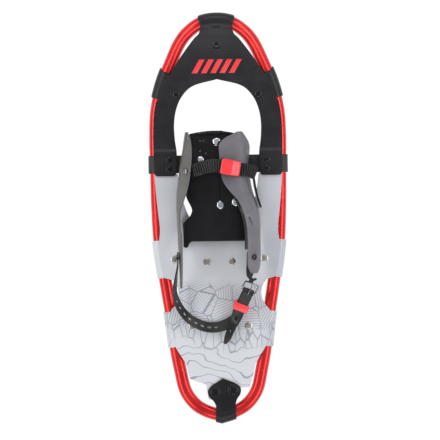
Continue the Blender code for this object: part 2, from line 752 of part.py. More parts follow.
def make_cord_middle():
    cord = block("toe_cord_middle", (2 * CORD_TURNS_WITHIN, CORD_WIDTH, CORD_SHEET),
                 (0, CORD_Y, (CORD_TOP + CORD_UNDER) / 2), "webbing")
    return drilled(cord, [FOOTBED_RIVETS[0]], 0.0022)


def make_cord_clamp():
    low = CORD_TOP + GAP
    high = FOOTBED_UNDER - GAP
    left = BINDING_X - 0.030
    right = BINDING_X + 0.026
    clamp = block("cord_clamp", (right - left, CORD_WIDTH, high - low),
                  ((left + right) / 2, CORD_Y, (low + high) / 2), "black_polymer")
    return drilled(clamp, [FOOTBED_RIVETS[0]], 0.0022)


def make_footbed():
    left = BINDING_X - FOOTBED_HALF_WIDTH
    right = BINDING_X + FOOTBED_HALF_WIDTH
    front = FOOTBED_FRONT
    rear = FOOTBED_REAR
    notch = smooth_path([
        (left, -0.006, 0), (left + 0.012, 0.008, 0), (left + 0.014, 0.016, 0),
        (left + 0.006, 0.034, 0), (left + 0.004, 0.045, 0),
    ], 1)
    outline = [(left, rear - 0.008), (left + 0.006, rear - 0.010), (left + 0.012, rear)]
    outline += [(right - 0.003, rear), (right, rear + 0.004), (right - 0.002, 0.060)]
    outline += [(right - 0.002, front - 0.018), (right - 0.008, front - 0.005)]
    outline += [(BINDING_X + 0.024, front - 0.001), (BINDING_X + 0.010, front + 0.001)]
    outline += [(BINDING_X - 0.008, front + 0.001), (BINDING_X - 0.026, front - 0.001)]
    outline += [(left + 0.013, front - 0.003), (left + 0.009, front - 0.012)]
    outline += [(left + 0.006, 0.070)] + [(p.x, p.y) for p in reversed(notch)]
    bed = plate("footbed", outline, [], FOOTBED_UNDER, FOOTBED_SHEET, "black_polymer")
    rim = block("rim", (0.060, 0.003, FOOTBED_RIM + 0.001),
                (BINDING_X - 0.002, front - 0.0035, FOOTBED_TOP + FOOTBED_RIM / 2), None)
    bed = combined(bed, [rim], "UNION")
    return drilled(bed, FOOTBED_RIVETS, 0.0022)


def make_wing(name, stations, material="grey_polymer"):
    """A shell lofted through stations (y, foot, low, bulge, high), each an (x, z) pair."""
    rows = []
    for y, foot, low, bulge, high in stations:
        foot, low, bulge, high = (Vector((x, y, z)) for x, z in (foot, low, bulge, high))
        side = smooth_path([low, bulge, high], 2)
        rows.append([foot] + side)
    lanes = [smooth_path(lane, 2) for lane in zip(*rows)]
    return sheet(name, list(zip(*lanes)), WING_SHEET, material)


LEFT_EDGE = BINDING_X - FOOTBED_HALF_WIDTH
RIGHT_EDGE = BINDING_X + FOOTBED_HALF_WIDTH
LEFT_WING = [
    (-0.106, (-0.0600, 0.069), (-0.0605, 0.071), (-0.0600, 0.074), (-0.0590, 0.077)),
    (-0.085, (-0.0605, 0.062), (-0.0610, 0.065), (-0.0605, 0.074), (-0.0580, 0.082)),
    (HEEL_PIVOT_Y, (-0.0610, 0.056), (-0.0615, 0.060), (-0.0615, 0.073), (-0.0575, 0.086)),
    (-0.030, (-0.0610, 0.045), (-0.0620, 0.049), (-0.0630, 0.067), (-0.0580, 0.087)),
    (-0.005, (-0.0610, 0.0395), (-0.0625, 0.042), (-0.0640, 0.063), (-0.0605, 0.086)),
    (0.015, (-0.0605, 0.0385), (-0.0625, 0.041), (-0.0645, 0.062), (-0.0590, 0.085)),
    (0.040, (LEFT_EDGE + 0.004, FLANGE_Z), (-0.0605, SIDE_Z), (-0.0640, 0.060), (-0.0505, 0.083)),
    (0.060, (LEFT_EDGE + 0.010, FLANGE_Z), (-0.0595, SIDE_Z), (-0.0610, 0.058), (-0.0455, 0.080)),
    (0.079, (LEFT_EDGE + 0.011, FLANGE_Z), (-0.0580, SIDE_Z), (-0.0590, 0.057), (-0.0430, 0.078)),
    (0.100, (LEFT_EDGE + 0.011, FLANGE_Z), (-0.0555, SIDE_Z), (-0.0550, 0.056), (-0.0410, 0.073)),
    (0.123, (-0.0520, 0.039), (-0.0525, 0.042), (-0.0500, 0.055), (-0.0425, 0.065)),
    (0.137, (-0.0500, 0.046), (-0.0500, 0.048), (-0.0488, 0.051), (-0.0470, 0.054)),
]
RIGHT_WING = [
    (-0.084, (0.0585, 0.052), (0.0580, 0.055), (0.0550, 0.066), (0.0485, 0.074)),
    (-0.075, (0.0620, 0.048), (0.0615, 0.051), (0.0575, 0.068), (0.0445, 0.078)),
    (HEEL_PIVOT_Y, (0.0635, 0.043), (0.0630, 0.046), (0.0590, 0.069), (0.0440, 0.081)),
    (-0.030, (0.0630, 0.041), (0.0635, 0.044), (0.0600, 0.067), (0.0440, 0.081)),
    (-0.005, (0.0615, 0.0385), (0.0635, 0.041), (0.0600, 0.065), (0.0420, 0.079)),
    (0.015, (0.0560, 0.0385), (0.0605, 0.041), (0.0560, 0.064), (0.0365, 0.077)),
    (0.030, (RIGHT_EDGE - 0.006, FLANGE_Z), (0.0565, SIDE_Z), (0.0510, 0.063), (0.0295, 0.075)),
    (0.045, (RIGHT_EDGE - 0.012, FLANGE_Z), (0.0520, SIDE_Z), (0.0440, 0.062), (0.0165, 0.072)),
    (0.060, (RIGHT_EDGE - 0.016, FLANGE_Z), (0.0490, SIDE_Z), (0.0400, 0.061), (0.0070, 0.069)),
    (0.080, (RIGHT_EDGE - 0.016, FLANGE_Z), (0.0475, SIDE_Z), (0.0370, 0.060), (0.0030, 0.066)),
    (0.100, (RIGHT_EDGE - 0.014, FLANGE_Z), (0.0475, SIDE_Z), (0.0380, 0.058), (0.0020, 0.063)),
    (0.117, (0.0475, 0.0395), (0.0480, 0.042), (0.0370, 0.058), (0.0020, 0.060)),
    (0.126, (0.0445, 0.043), (0.0440, 0.046), (0.0350, 0.055), (0.0100, 0.059)),
    (0.137, (0.0370, 0.050), (0.0365, 0.051), (0.0340, 0.053), (0.0310, 0.055)),
]
RIGHT_LINER = [
    (0.018, (0.0655, 0.0390), (0.0660, 0.041), (0.0665, 0.046), (0.0660, 0.051)),
    (0.040, (0.0585, 0.0390), (0.0590, 0.041), (0.0600, 0.047), (0.0595, 0.052)),
    (0.065, (0.0545, 0.0390), (0.0550, 0.041), (0.0560, 0.047), (0.0550, 0.052)),
    (0.096, (0.0540, 0.0390), (0.0545, 0.041), (0.0545, 0.045), (0.0540, 0.049)),
]


def ribbon(name, path, widths, width, thickness, material):
    """A flat strap along a path; widths gives the direction of its width at each point."""
    rows = []
    for place, across in zip(path, widths):
        half = across.normalized() * (width / 2)
        rows.append([place - half, place + half])
    return sheet(name, rows, thickness, material)


def smooth_ribbon(name, stations, width, thickness, material, steps=3):
    path = smooth_path([place for place, across in stations], steps)
    turns = [across.normalized() for place, across in stations]
    widths = [a.lerp(b, i / steps) for a, b in zip(turns, turns[1:]) for i in range(steps)]
    widths.append(turns[-1])
    return ribbon(name, path, widths, width, thickness, material)


make_cord_middle()
make_cord_clamp()
make_footbed()
make_wing("left_wing", LEFT_WING)
make_wing("right_wing", RIGHT_WING)
make_wing("right_liner", RIGHT_LINER, "black_polymer")

for (x, y), word in zip(FOOTBED_RIVETS, ("left", "front", "centre", "right")):
    top_w = FOOTBED_TOP - TUBE_Z
    if y > 0.06:
        foot_w = CRAMPON_TOP - PLATE - TUBE_Z
    else:
        foot_w = FOOTBED_UNDER - TUBE_Z
    profile = rivet_profile(FOOTBED_RIVET_HEAD, top_w + GAP, foot_w - GAP)
    if y < 0.06:
        profile = profile[:5] + [(0.0019, foot_w + GAP), (0.0, foot_w + GAP)]
    turned(f"footbed_rivet_{word}", profile, Matrix.Translation((x, y, TUBE_Z)), "steel")


# ---- Ladder strap and its buckle, on an empty that carries the buckle's own axes

buckle_mount = bpy.data.objects.new("buckle_mount", None)
parts.objects.link(buckle_mount)
buckle_mount.location = (0.0170, 0.0805, 0.0690)
buckle_mount.rotation_euler = (0, math.radians(10), math.radians(-10))
bpy.context.view_layer.update()
MOUNT = buckle_mount.matrix_world.copy()

LADDER_W = BUCKLE_WALL + GAP * 2 + LADDER_SHEET / 2
PIN_X = 0.0085
PIN_W = 0.0086
EYE_RADIUS = 0.0027
LEVER_W = 0.0118
LEVER_SHEET = 0.0020
SIDE_HALF = LADDER_WIDTH / 2 + 0.0006


def on_mount(made):
    """Parents a piece, built about the buckle's origin, to the buckle's empty."""
    made.parent = buckle_mount
    return made


def upright(made, half_width):
    """Stands a plate that was drawn in X and Y up on its edge, centred across the buckle."""
    made.data.transform(Matrix.Rotation(math.pi / 2, 4, "X") @ Matrix.Translation((0, 0, -half_width))
                        @ made.matrix_world)
    made.matrix_world = Matrix.Identity(4)
    return made


def eye_outline(arm):
    """A round eye about the pin, joined to an arm given by its other points."""
    turns = [math.radians(a) for a in range(-150, 91, 40)]
    return [(PIN_X + EYE_RADIUS * math.cos(a), PIN_W + EYE_RADIUS * math.sin(a)) for a in turns] + arm


def make_buckle_base():
    half = BUCKLE_LENGTH / 2
    base = block("buckle_base", (BUCKLE_LENGTH, 2 * (SIDE_HALF + BUCKLE_WALL), BUCKLE_WALL),
                 (0, 0, BUCKLE_WALL / 2), "black_polymer")
    walls = []
    for side in (-1, 1):
        outline = [(-half + 0.001, 0.0006), (half - 0.001, 0.0006), (half - 0.001, 0.0085),
                   (PIN_X + 0.001, 0.0109), (PIN_X - 0.003, 0.0109), (-half + 0.001, 0.0060)]
        wall = plate("wall", outline, [(PIN_X, PIN_W, PIN_RADIUS + PIN_CLEARANCE)], 0,
                     BUCKLE_WALL, None)
        wall = upright(wall, BUCKLE_WALL / 2)
        wall.data.transform(Matrix.Translation((0, side * (SIDE_HALF + BUCKLE_WALL / 2), 0)))
        walls.append(wall)
    base = combined(base, walls, "UNION")
    return on_mount(drilled(base, [(-0.003, 0)], 0.0022, 0.004))


def make_buckle_lever():
    half = BUCKLE_LENGTH / 2 - 0.0005
    wide = SIDE_HALF + BUCKLE_WALL - 0.001
    lever = block("buckle_lever", (2 * half, 2 * wide, LEVER_SHEET),
                  (0, 0, LEVER_W + LEVER_SHEET / 2), "red_polymer")
    eyes = []
    for side in (-1, 1):
        arm = [(PIN_X - 0.004, LEVER_W + 0.001), (PIN_X - 0.0035, PIN_W)]
        outline = [p for p in eye_outline(arm)]
        outline.insert(-2, (PIN_X, LEVER_W + 0.001))
        eye = plate("eye", outline, [(PIN_X, PIN_W, PIN_RADIUS + PIN_CLEARANCE)], 0, 0.0030, None)
        eye = upright(eye, 0.0015)
        eye.data.transform(Matrix.Translation((0, side * (SIDE_HALF - 0.0024), 0)))
        eyes.append(eye)
    return on_mount(combined(lever, eyes, "UNION"))


def make_buckle_pawl():
    arm = [(PIN_X - 0.009, PIN_W - 0.0010), (PIN_X - 0.0115, LADDER_W + LADDER_SHEET / 2 + 0.0006),
           (PIN_X - 0.0085, PIN_W - 0.0032)]
    outline = eye_outline(arm)
    pawl = plate("buckle_pawl", outline, [(PIN_X, PIN_W, PIN_RADIUS + PIN_CLEARANCE)], 0, 0.0100,
                 "steel")
    return on_mount(upright(pawl, 0.0050))


def make_buckle_pin():
    length = SIDE_HALF + BUCKLE_WALL + 0.0002
    profile = [(0, length), (PIN_RADIUS, length), (PIN_RADIUS, -length), (0, -length)]
    matrix = Matrix.Translation((PIN_X, 0, PIN_W)) @ Matrix.Rotation(math.pi / 2, 4, "X")
    return on_mount(turned("buckle_pin", profile, matrix, "steel", 10))


def make_ladder_strap():
    floor = [MOUNT @ Vector((x, 0, LADDER_W)) for x in (-0.0185, -0.006, 0.006, 0.0185)]
    across = MOUNT.to_3x3() @ Vector((0, 1, 0))
    start = Vector((0.05, 1, 0.05))
    stations = [
        (Vector((-0.0500, 0.0742, 0.0638)), start),
        (Vector((-0.0454, 0.0750, 0.0688)), start),
        (Vector((-0.0385, 0.0765, 0.0740)), start),
        (Vector((-0.0280, 0.0795, 0.0780)), Vector((0.10, 1, 0))),
        (Vector((-0.0160, 0.0825, 0.0775)), across),
    ]
    stations += [(place, across) for place in floor]
    stations += [(Vector((0.0480, 0.0755, 0.0655)), across), (Vector((0.0590, 0.0705, 0.0615)), across)]
    strap = smooth_ribbon("ladder_strap", stations, LADDER_WIDTH, LADDER_SHEET, "black_polymer", 2)
    return strap


make_buckle_base()
make_buckle_lever()
make_buckle_pawl()
make_buckle_pin()
make_ladder_strap()


# ---- Heel strap: one strap from the left wing, round the heel, over the buckle's roller and back

ROLLER_AT = Vector((0.0440, -0.1130, 0.0600))
STRAP_PULL = Vector((-0.42, -0.86, -0.28)).normalized()
STRAP_ACROSS = STRAP_PULL.cross(Vector((0.25, 0.05, 1))).normalized()
STRAP_UP = STRAP_ACROSS.cross(STRAP_PULL).normalized()
if STRAP_UP.z < 0:
    STRAP_UP = -STRAP_UP
LAYER = ROLLER_RADIUS + 0.0004 + STRAP_SHEET / 2
FRAME_LENGTH = 0.0150


def strap_place(along, across, up):
    """A place given from the roller, along the strap's pull, across it and above it."""
    return ROLLER_AT + STRAP_PULL * along + STRAP_ACROSS * across + STRAP_UP * up


def strap_matrix(along, up):
    """Axes at the roller: X along the pull, Y across, Z up off the strap."""
    across = STRAP_UP.cross(STRAP_PULL)
    turn = Matrix((STRAP_PULL, across, STRAP_UP)).transposed().to_4x4()
    return Matrix.Translation(strap_place(along, 0, up)) @ turn


# The right wing leans in, so its pivot rivet stands square to its slope
WING_NORMAL = Vector((0.62, 0, 0.78)).normalized()
WING_ACROSS = Vector((-0.78, 0, 0.62)).normalized()
RIGHT_PIVOT = (
    Matrix.Translation((0.0532, HEEL_PIVOT_Y, 0.0746))
    @ Vector((0, 0, 1)).rotation_difference(WING_NORMAL).to_matrix().to_4x4()
)
LEFT_PIVOT = Matrix.Translation((-0.063, HEEL_PIVOT_Y, HEEL_PIVOT_Z)) @ Matrix.Rotation(-math.pi / 2, 4, "Y")


def make_heel_strap():
    up = Vector((0, 0, 1))
    across = STRAP_UP.cross(STRAP_PULL)
    stations = [
        (Vector((-0.0648, HEEL_PIVOT_Y + 0.008, 0.0750)), up),
        (Vector((-0.0650, HEEL_PIVOT_Y - 0.010, 0.0715)), up),
        (Vector((-0.0680, -0.0890, 0.0650)), Vector((-0.10, 0.10, 1))),
        (Vector((-0.0705, -0.1130, 0.0580)), Vector((-0.35, 0.10, 0.95))),
        (Vector((-0.0640, -0.1350, 0.0510)), Vector((-0.60, -0.10, 0.80))),
        (Vector((-0.0480, -0.1550, 0.0455)), Vector((-0.55, -0.60, 0.55))),
        (Vector((-0.0220, -0.1680, 0.0430)), Vector((-0.20, -0.90, 0.32))),
        (Vector((0.0020, -0.1670, 0.0420)), Vector((0.15, -0.93, 0.25))),
        (strap_place(0.0500, 0, -LAYER) + Vector((0.0015, 0, 0)), across.lerp(Vector((0.4, -0.9, 0.1)), 0.3)),
        (strap_place(0.0360, 0, -LAYER), across),
        (strap_place(0.0180, 0, -LAYER), across),
        (strap_place(0.0050, 0, -LAYER), across),
    ]
    for degrees in (-90, -130, -180, -230, -270):
        a = math.radians(degrees)
        stations.append((strap_place(LAYER * math.cos(a), 0, LAYER * math.sin(a)), across))
    stations += [
        (strap_place(0.0050, 0, LAYER), across),
        (strap_place(0.0180, 0, LAYER), across),
        (strap_place(0.0360, 0, LAYER), across),
        (strap_place(0.0520, 0, LAYER + 0.0005), across),
        (strap_place(0.0720, 0, LAYER + 0.0020), across),
        (strap_place(0.0910, 0, LAYER + 0.0045), across),
    ]
    strap = smooth_ribbon("heel_strap", stations, STRAP_WIDTH, STRAP_SHEET, "webbing", 2)
    return bored(strap, LEFT_PIVOT, 0.0022)


def make_buckle_link():
    across = STRAP_UP.cross(STRAP_PULL)
    front_bar = strap_place(-FRAME_LENGTH, 0, 0)
    stations = [
        (Vector((0.0482, HEEL_PIVOT_Y + 0.008, 0.0741)), WING_ACROSS),
        (Vector((0.0474, HEEL_PIVOT_Y - 0.010, 0.0731)), WING_ACROSS),
        (Vector((0.0472, -0.0860, 0.0678)), WING_ACROSS),
        (front_bar - STRAP_PULL * 0.0036, across),
    ]
    link = smooth_ribbon("buckle_link", stations, STRAP_WIDTH * 0.8, STRAP_SHEET, "webbing", 3)
    return bored(link, RIGHT_PIVOT, 0.0022)


def make_buckle_frame():
    half = STRAP_WIDTH / 2 + 0.0030
    radius = 0.0025
    corners = [(0, half), (0, -half), (-FRAME_LENGTH, -half), (-FRAME_LENGTH, half)]
    path = []
    centre = Vector((-FRAME_LENGTH / 2, 0))
    for x, y in corners:
        inward = Vector((math.copysign(radius, centre.x - x), math.copysign(radius, -y)))
        middle = Vector((x, y)) + inward
        first = math.atan2(-inward.y, -inward.x)
        for step in (45, 0, -45):
            a = first + math.radians(step)
            path.append(middle + radius * Vector((math.cos(a), math.sin(a))))
    frame = wire("heel_buckle_frame", [(p.x, p.y, 0) for p in path], WIRE_RADIUS, "steel", 2, True)
    frame.matrix_world = strap_matrix(0, 0)
    return frame


def make_roller():
    half = STRAP_WIDTH / 2 - 0.0005
    inner = WIRE_RADIUS + PIN_CLEARANCE
    profile = [(inner, half), (ROLLER_RADIUS, half), (ROLLER_RADIUS, -half), (inner, -half), (inner, half)]
    matrix = strap_matrix(0, 0) @ Matrix.Rotation(math.pi / 2, 4, "X")
    return turned("heel_buckle_roller", profile, matrix, "steel", 10)


def make_prong():
    """A wire hooked round the frame's front bar, its tip resting on the strap over the roller."""
    radius = 0.0009
    hook = WIRE_RADIUS + PIN_CLEARANCE + radius
    turns = [math.radians(a) for a in (-150, -110, -70, -30, 10, 50, 90)]
    path = [(-FRAME_LENGTH - hook * math.cos(a), 0, hook * math.sin(a)) for a in turns]
    tip = LAYER + STRAP_SHEET / 2 + 0.0004 + radius
    path += [(-0.0060, 0, tip), (0.0030, 0, tip)]
    prong = wire("heel_buckle_prong", path, radius, "steel", 1)
    prong.matrix_world = strap_matrix(0, 0)
    return prong


def make_keeper():
    side_gap = 0.0006
    inner_half = STRAP_WIDTH / 2 + side_gap
    inner_high = LAYER + STRAP_SHEET / 2 + 0.0005
    wall = 0.0022
    length = 0.0125
    keeper = block("heel_keeper", (length, 2 * (inner_half + wall), 2 * (inner_high + wall)),
                   (0, 0, 0), "red_polymer")
    hole = block("keeper_hole", (length * 3, 2 * inner_half, 2 * inner_high), (0, 0, 0), None, cutters)
    keeper = combined(keeper, [hole], "DIFFERENCE")
    keeper.matrix_world = strap_matrix(0.0270, 0)
    return keeper


def make_pivot_rivets():
    """The two rivets that the heel strap and its buckle link turn on."""
    left = rivet_profile(0.0048, 0.0034, -0.0042)
    turned("heel_pivot_left", left, LEFT_PIVOT, "steel")
    right = rivet_profile(0.0048, 0.0022, -0.0060)
    turned("heel_pivot_right", right, RIGHT_PIVOT, "steel")


make_heel_strap()
make_buckle_link()
make_buckle_frame()
make_roller()
make_prong()
make_keeper()
make_pivot_rivets()
bored(bpy.data.objects["left_wing"], LEFT_PIVOT, 0.0022)
bored(bpy.data.objects["right_wing"], RIGHT_PIVOT, 0.0022)

# The ladder strap's end is riveted inside the left wing
LADDER_RIVET = (
    Matrix.Translation((-0.0500, 0.0752, 0.0722))
    @ Vector((0, 0, 1)).rotation_difference(Vector((-0.74, 0, 0.67))).to_matrix().to_4x4()
)
turned("ladder_rivet", rivet_profile(0.0050, 0.0022, -0.0080), LADDER_RIVET, "steel")
bored(bpy.data.objects["left_wing"], LADDER_RIVET, 0.0022)
bored(bpy.data.objects["ladder_strap"], LADDER_RIVET, 0.0022)

# A countersunk rivet holds the buckle to the right wing
BUCKLE_RIVET = MOUNT @ Matrix.Translation((-0.003, 0, 0))
foot = -0.0070
head = [(0.0, BUCKLE_WALL), (0.0019, BUCKLE_WALL), (0.0019, foot), (0.0040, foot),
        (0.0040, foot - 0.0012), (0.0, foot - 0.0012)]
turned("buckle_rivet", head, BUCKLE_RIVET, "steel")
bored(bpy.data.objects["right_wing"], BUCKLE_RIVET, 0.0022)

inner_strap = [
    (Vector((0.0275, 0.030, 0.0700)), Vector((-0.2, 0, 1))),
    (Vector((0.0350, 0.013, 0.0725)), Vector((-0.2, 0, 1))),
    (Vector((0.0398, -0.006, 0.0745)), Vector((-0.2, 0, 1))),
    (Vector((0.0418, -0.028, 0.0765)), Vector((-0.2, 0, 1))),
    (Vector((0.0416, -0.047, 0.0765)), Vector((-0.2, 0, 1))),
]
smooth_ribbon("right_inner_strap", inner_strap, 0.012, STRAP_SHEET, "black_polymer", 2)
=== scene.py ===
import math

import bmesh
import bpy
from mathutils import Matrix, Vector


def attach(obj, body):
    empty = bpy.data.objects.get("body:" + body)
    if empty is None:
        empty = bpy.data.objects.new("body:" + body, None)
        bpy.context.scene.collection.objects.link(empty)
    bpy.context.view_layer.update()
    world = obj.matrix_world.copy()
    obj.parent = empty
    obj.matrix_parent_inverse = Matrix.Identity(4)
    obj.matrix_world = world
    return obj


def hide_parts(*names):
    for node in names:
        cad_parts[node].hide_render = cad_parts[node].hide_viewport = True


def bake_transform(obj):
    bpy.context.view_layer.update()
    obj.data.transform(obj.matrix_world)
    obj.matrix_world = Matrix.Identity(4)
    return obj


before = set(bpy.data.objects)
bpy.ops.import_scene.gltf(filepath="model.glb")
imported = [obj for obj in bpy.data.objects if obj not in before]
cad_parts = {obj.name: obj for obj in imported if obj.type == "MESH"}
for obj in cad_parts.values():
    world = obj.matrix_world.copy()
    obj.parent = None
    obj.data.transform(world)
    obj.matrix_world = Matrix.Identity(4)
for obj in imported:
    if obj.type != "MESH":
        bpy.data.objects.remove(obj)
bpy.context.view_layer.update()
print("frame loaded")


# wraps one number socket, so that 1 - mask or mask * 3 adds its Math nodes
class Sock:
    def __init__(self, tree, socket=None):
        self.tree = tree
        self.socket = socket

    def node(self, kind, settings=None, inputs=None, out=0):
        made = self.tree.nodes.new(kind)
        for key, value in (settings or {}).items():
            setattr(made, key, value)
        for key, value in (inputs or {}).items():
            if isinstance(value, Sock):
                self.tree.links.new(value.socket, made.inputs[key])
            else:
                made.inputs[key].default_value = value
        return Sock(self.tree, made.outputs[out])

    def calc(self, operation, *values):
        return self.node("ShaderNodeMath", {"operation": operation}, dict(enumerate(values)))

    def __add__(self, other):
        return self.calc("ADD", self, other)

    __radd__ = __add__

    def __sub__(self, other):
        return self.calc("SUBTRACT", self, other)

    def __rsub__(self, other):
        return self.calc("SUBTRACT", other, self)

    def __mul__(self, other):
        return self.calc("MULTIPLY", self, other)

    __rmul__ = __mul__

    def between(self, low, high):
        # 0 at low and 1 at high, smooth in between
        settings = {"interpolation_type": "SMOOTHSTEP"}
        return self.node("ShaderNodeMapRange", settings, {0: self, 1: low, 2: high, 3: 0.0, 4: 1.0})


def newMaterial(name, settings):
    material = bpy.data.materials.new(name)
    material.use_nodes = True
    tree = material.node_tree
    shader = tree.nodes["Principled BSDF"]
    for key, value in settings.items():
        shader.inputs[key].default_value = value
    start = Sock(tree)

    def feed(key, value):
        tree.links.new(value.socket, shader.inputs[key])

    return material, start, feed


def place(start, scale=1.0):
    coords = start.node("ShaderNodeTexCoord", out=3)
    if scale == 1.0:
        return coords
    settings = {"operation": "MULTIPLY"}
    size = scale if isinstance(scale, tuple) else (scale, scale, scale)
    return start.node("ShaderNodeVectorMath", settings, {0: coords, 1: size})


def noise(start, coords, scale, detail=3.0):
    return start.node("ShaderNodeTexNoise", None, {"Vector": coords, "Scale": scale, "Detail": detail})


def cells(start, coords, scale, feature="F1", out=0):
    return start.node("ShaderNodeTexVoronoi", {"feature": feature}, {"Vector": coords, "Scale": scale}, out)


def blendColour(start, factor, first, second):
    return start.node("ShaderNodeMix", {"data_type": "RGBA"}, {0: factor, 6: first, 7: second}, 2)


def bump(start, height, depth):
    inputs = {"Height": height, "Distance": depth, "Strength": 1.0}
    return start.node("ShaderNodeBump", None, inputs)


# a moulding: two near colours, a dusting of wear, and a fine grain
def moulding(name, dark, light, rough, grain, depth=0.00004, settings=None):
    material, start, feed = newMaterial(name, settings or {})
    coords = place(start)
    cloud = noise(start, coords, 38.0).between(0.35, 0.68)
    scuffs = noise(start, place(start, (160.0, 900.0, 400.0)), 1.0, 5.0).between(0.62, 0.78)
    feed("Base Color", blendColour(start, cloud * 0.7 + scuffs * 0.3, (*dark, 1), (*light, 1)))
    feed("Roughness", cloud * 0.07 + scuffs * 0.08 + rough)
    pebbles = cells(start, coords, grain)
    swell = noise(start, coords, 90.0, 2.0)
    feed("Normal", bump(start, pebbles * 0.35 + swell * 0.8, depth))
    return material


def metal(name, dark, light, rough, scratch=(60.0, 60.0, 60.0), depth=0.00003, settings=None):
    material, start, feed = newMaterial(name, {"Metallic": 1.0, **(settings or {})})
    coords = place(start)
    cloud = noise(start, coords, 55.0).between(0.3, 0.7)
    fine = noise(start, place(start, scratch), 14.0, 6.0)
    feed("Base Color", blendColour(start, cloud, (*dark, 1), (*light, 1)))
    feed("Roughness", cloud * 0.08 + fine.between(0.45, 0.8) * 0.12 + rough)
    feed("Normal", bump(start, fine * 0.5 + noise(start, coords, 900.0) * 0.3, depth))
    return material


def wovenTape(name, dark, light):
    material, start, feed = newMaterial(name, {"Specular IOR Level": 0.45})
    coords = place(start)
    split = start.node("ShaderNodeSeparateXYZ", None, {0: coords})
    across = Sock(split.tree, split.socket.node.outputs[1])
    thread = 2600.0
    waves = start.calc("SINE", split * thread) * start.calc("SINE", across * thread)
    cloud = noise(start, coords, 60.0).between(0.35, 0.65)
    feed("Base Color", blendColour(start, cloud, (*dark, 1), (*light, 1)))
    feed("Roughness", cloud * 0.12 + waves * 0.05 + 0.42)
    feed("Normal", bump(start, waves * 0.5 + cloud * 0.3, 0.00012))
    return material


# pale satin sheet with hatched fields, leaf outlines and contour lines printed on its rear half, and
# painted shade in patches towards its sides, beside the tubes
def printedSheet(name, sheetColour, paintedShadeColour, inkColour):
    material, start, feed = newMaterial(name, {"Specular IOR Level": 0.5, "Coat Weight": 0.15,
            "Coat Roughness": 0.25})
    coords = place(start)
    split = start.node("ShaderNodeSeparateXYZ", None, {0: coords})
    along = Sock(split.tree, split.socket.node.outputs[1])
    side = start.calc("ABSOLUTE", split)
    wobble = noise(start, coords, 22.0, 2.0)
    # hatched fields, each cell with its own direction
    field = cells(start, coords, 30.0, out=1)
    turn = start.node("ShaderNodeSeparateColor", None, {0: field}) * 6.283
    hatch = split * start.calc("COSINE", turn) + along * start.calc("SINE", turn) + wobble * 0.004
    hatch = start.calc("SINE", hatch * 1650.0).between(0.62, 0.92)
    border = cells(start, coords, 30.0, "DISTANCE_TO_EDGE").between(0.022, 0.008)
    hatch = start.calc("MAXIMUM", hatch, border)
    # leaf outlines, long along the shoe
    leaf = cells(start, place(start, (1.0, 0.38, 1.0)), 95.0, "DISTANCE_TO_EDGE").between(0.075, 0.02)
    # contour lines over the last stretch
    rise = along * 1.0 + start.calc("SINE", split * 38.0) * 0.012 + wobble * 0.05
    contour = start.calc("SINE", rise * 400.0).between(0.93, 0.99)
    front = wobble * 0.03 + along
    hatchZone = front.between(-0.078, -0.092) * (1 - front.between(-0.15, -0.158) )
    leafPatch = noise(start, coords, 16.0, 1.0).between(0.42, 0.5)
    leafZone = front.between(-0.146, -0.152) * (1 - front.between(-0.182, -0.196)) * leafPatch
    contourZone = front.between(-0.16, -0.18)
    ink = hatchZone * hatch + leafZone * leaf * 0.9 + contourZone * contour * (1 - leafZone)
    ink = start.calc("MINIMUM", ink, 1.0) * 0.72
    # painted shade: the sheet darkens in patches towards its sides, beside the tubes
    paintedShade = side.between(0.055, 0.085) * noise(start, coords, 12.0, 1.0).between(0.3, 0.75) * 0.55
    groundWithPaintedShade = blendColour(start, paintedShade, (*sheetColour, 1), (*paintedShadeColour, 1))
    feed("Base Color", blendColour(start, ink, groundWithPaintedShade, (*inkColour, 1)))
    feed("Roughness", noise(start, coords, 70.0) * 0.12 + ink * 0.1 + 0.3)
    feed("Normal", bump(start, noise(start, coords, 420.0, 4.0) * 0.5 + ink * 0.4, 0.00005))
    return material


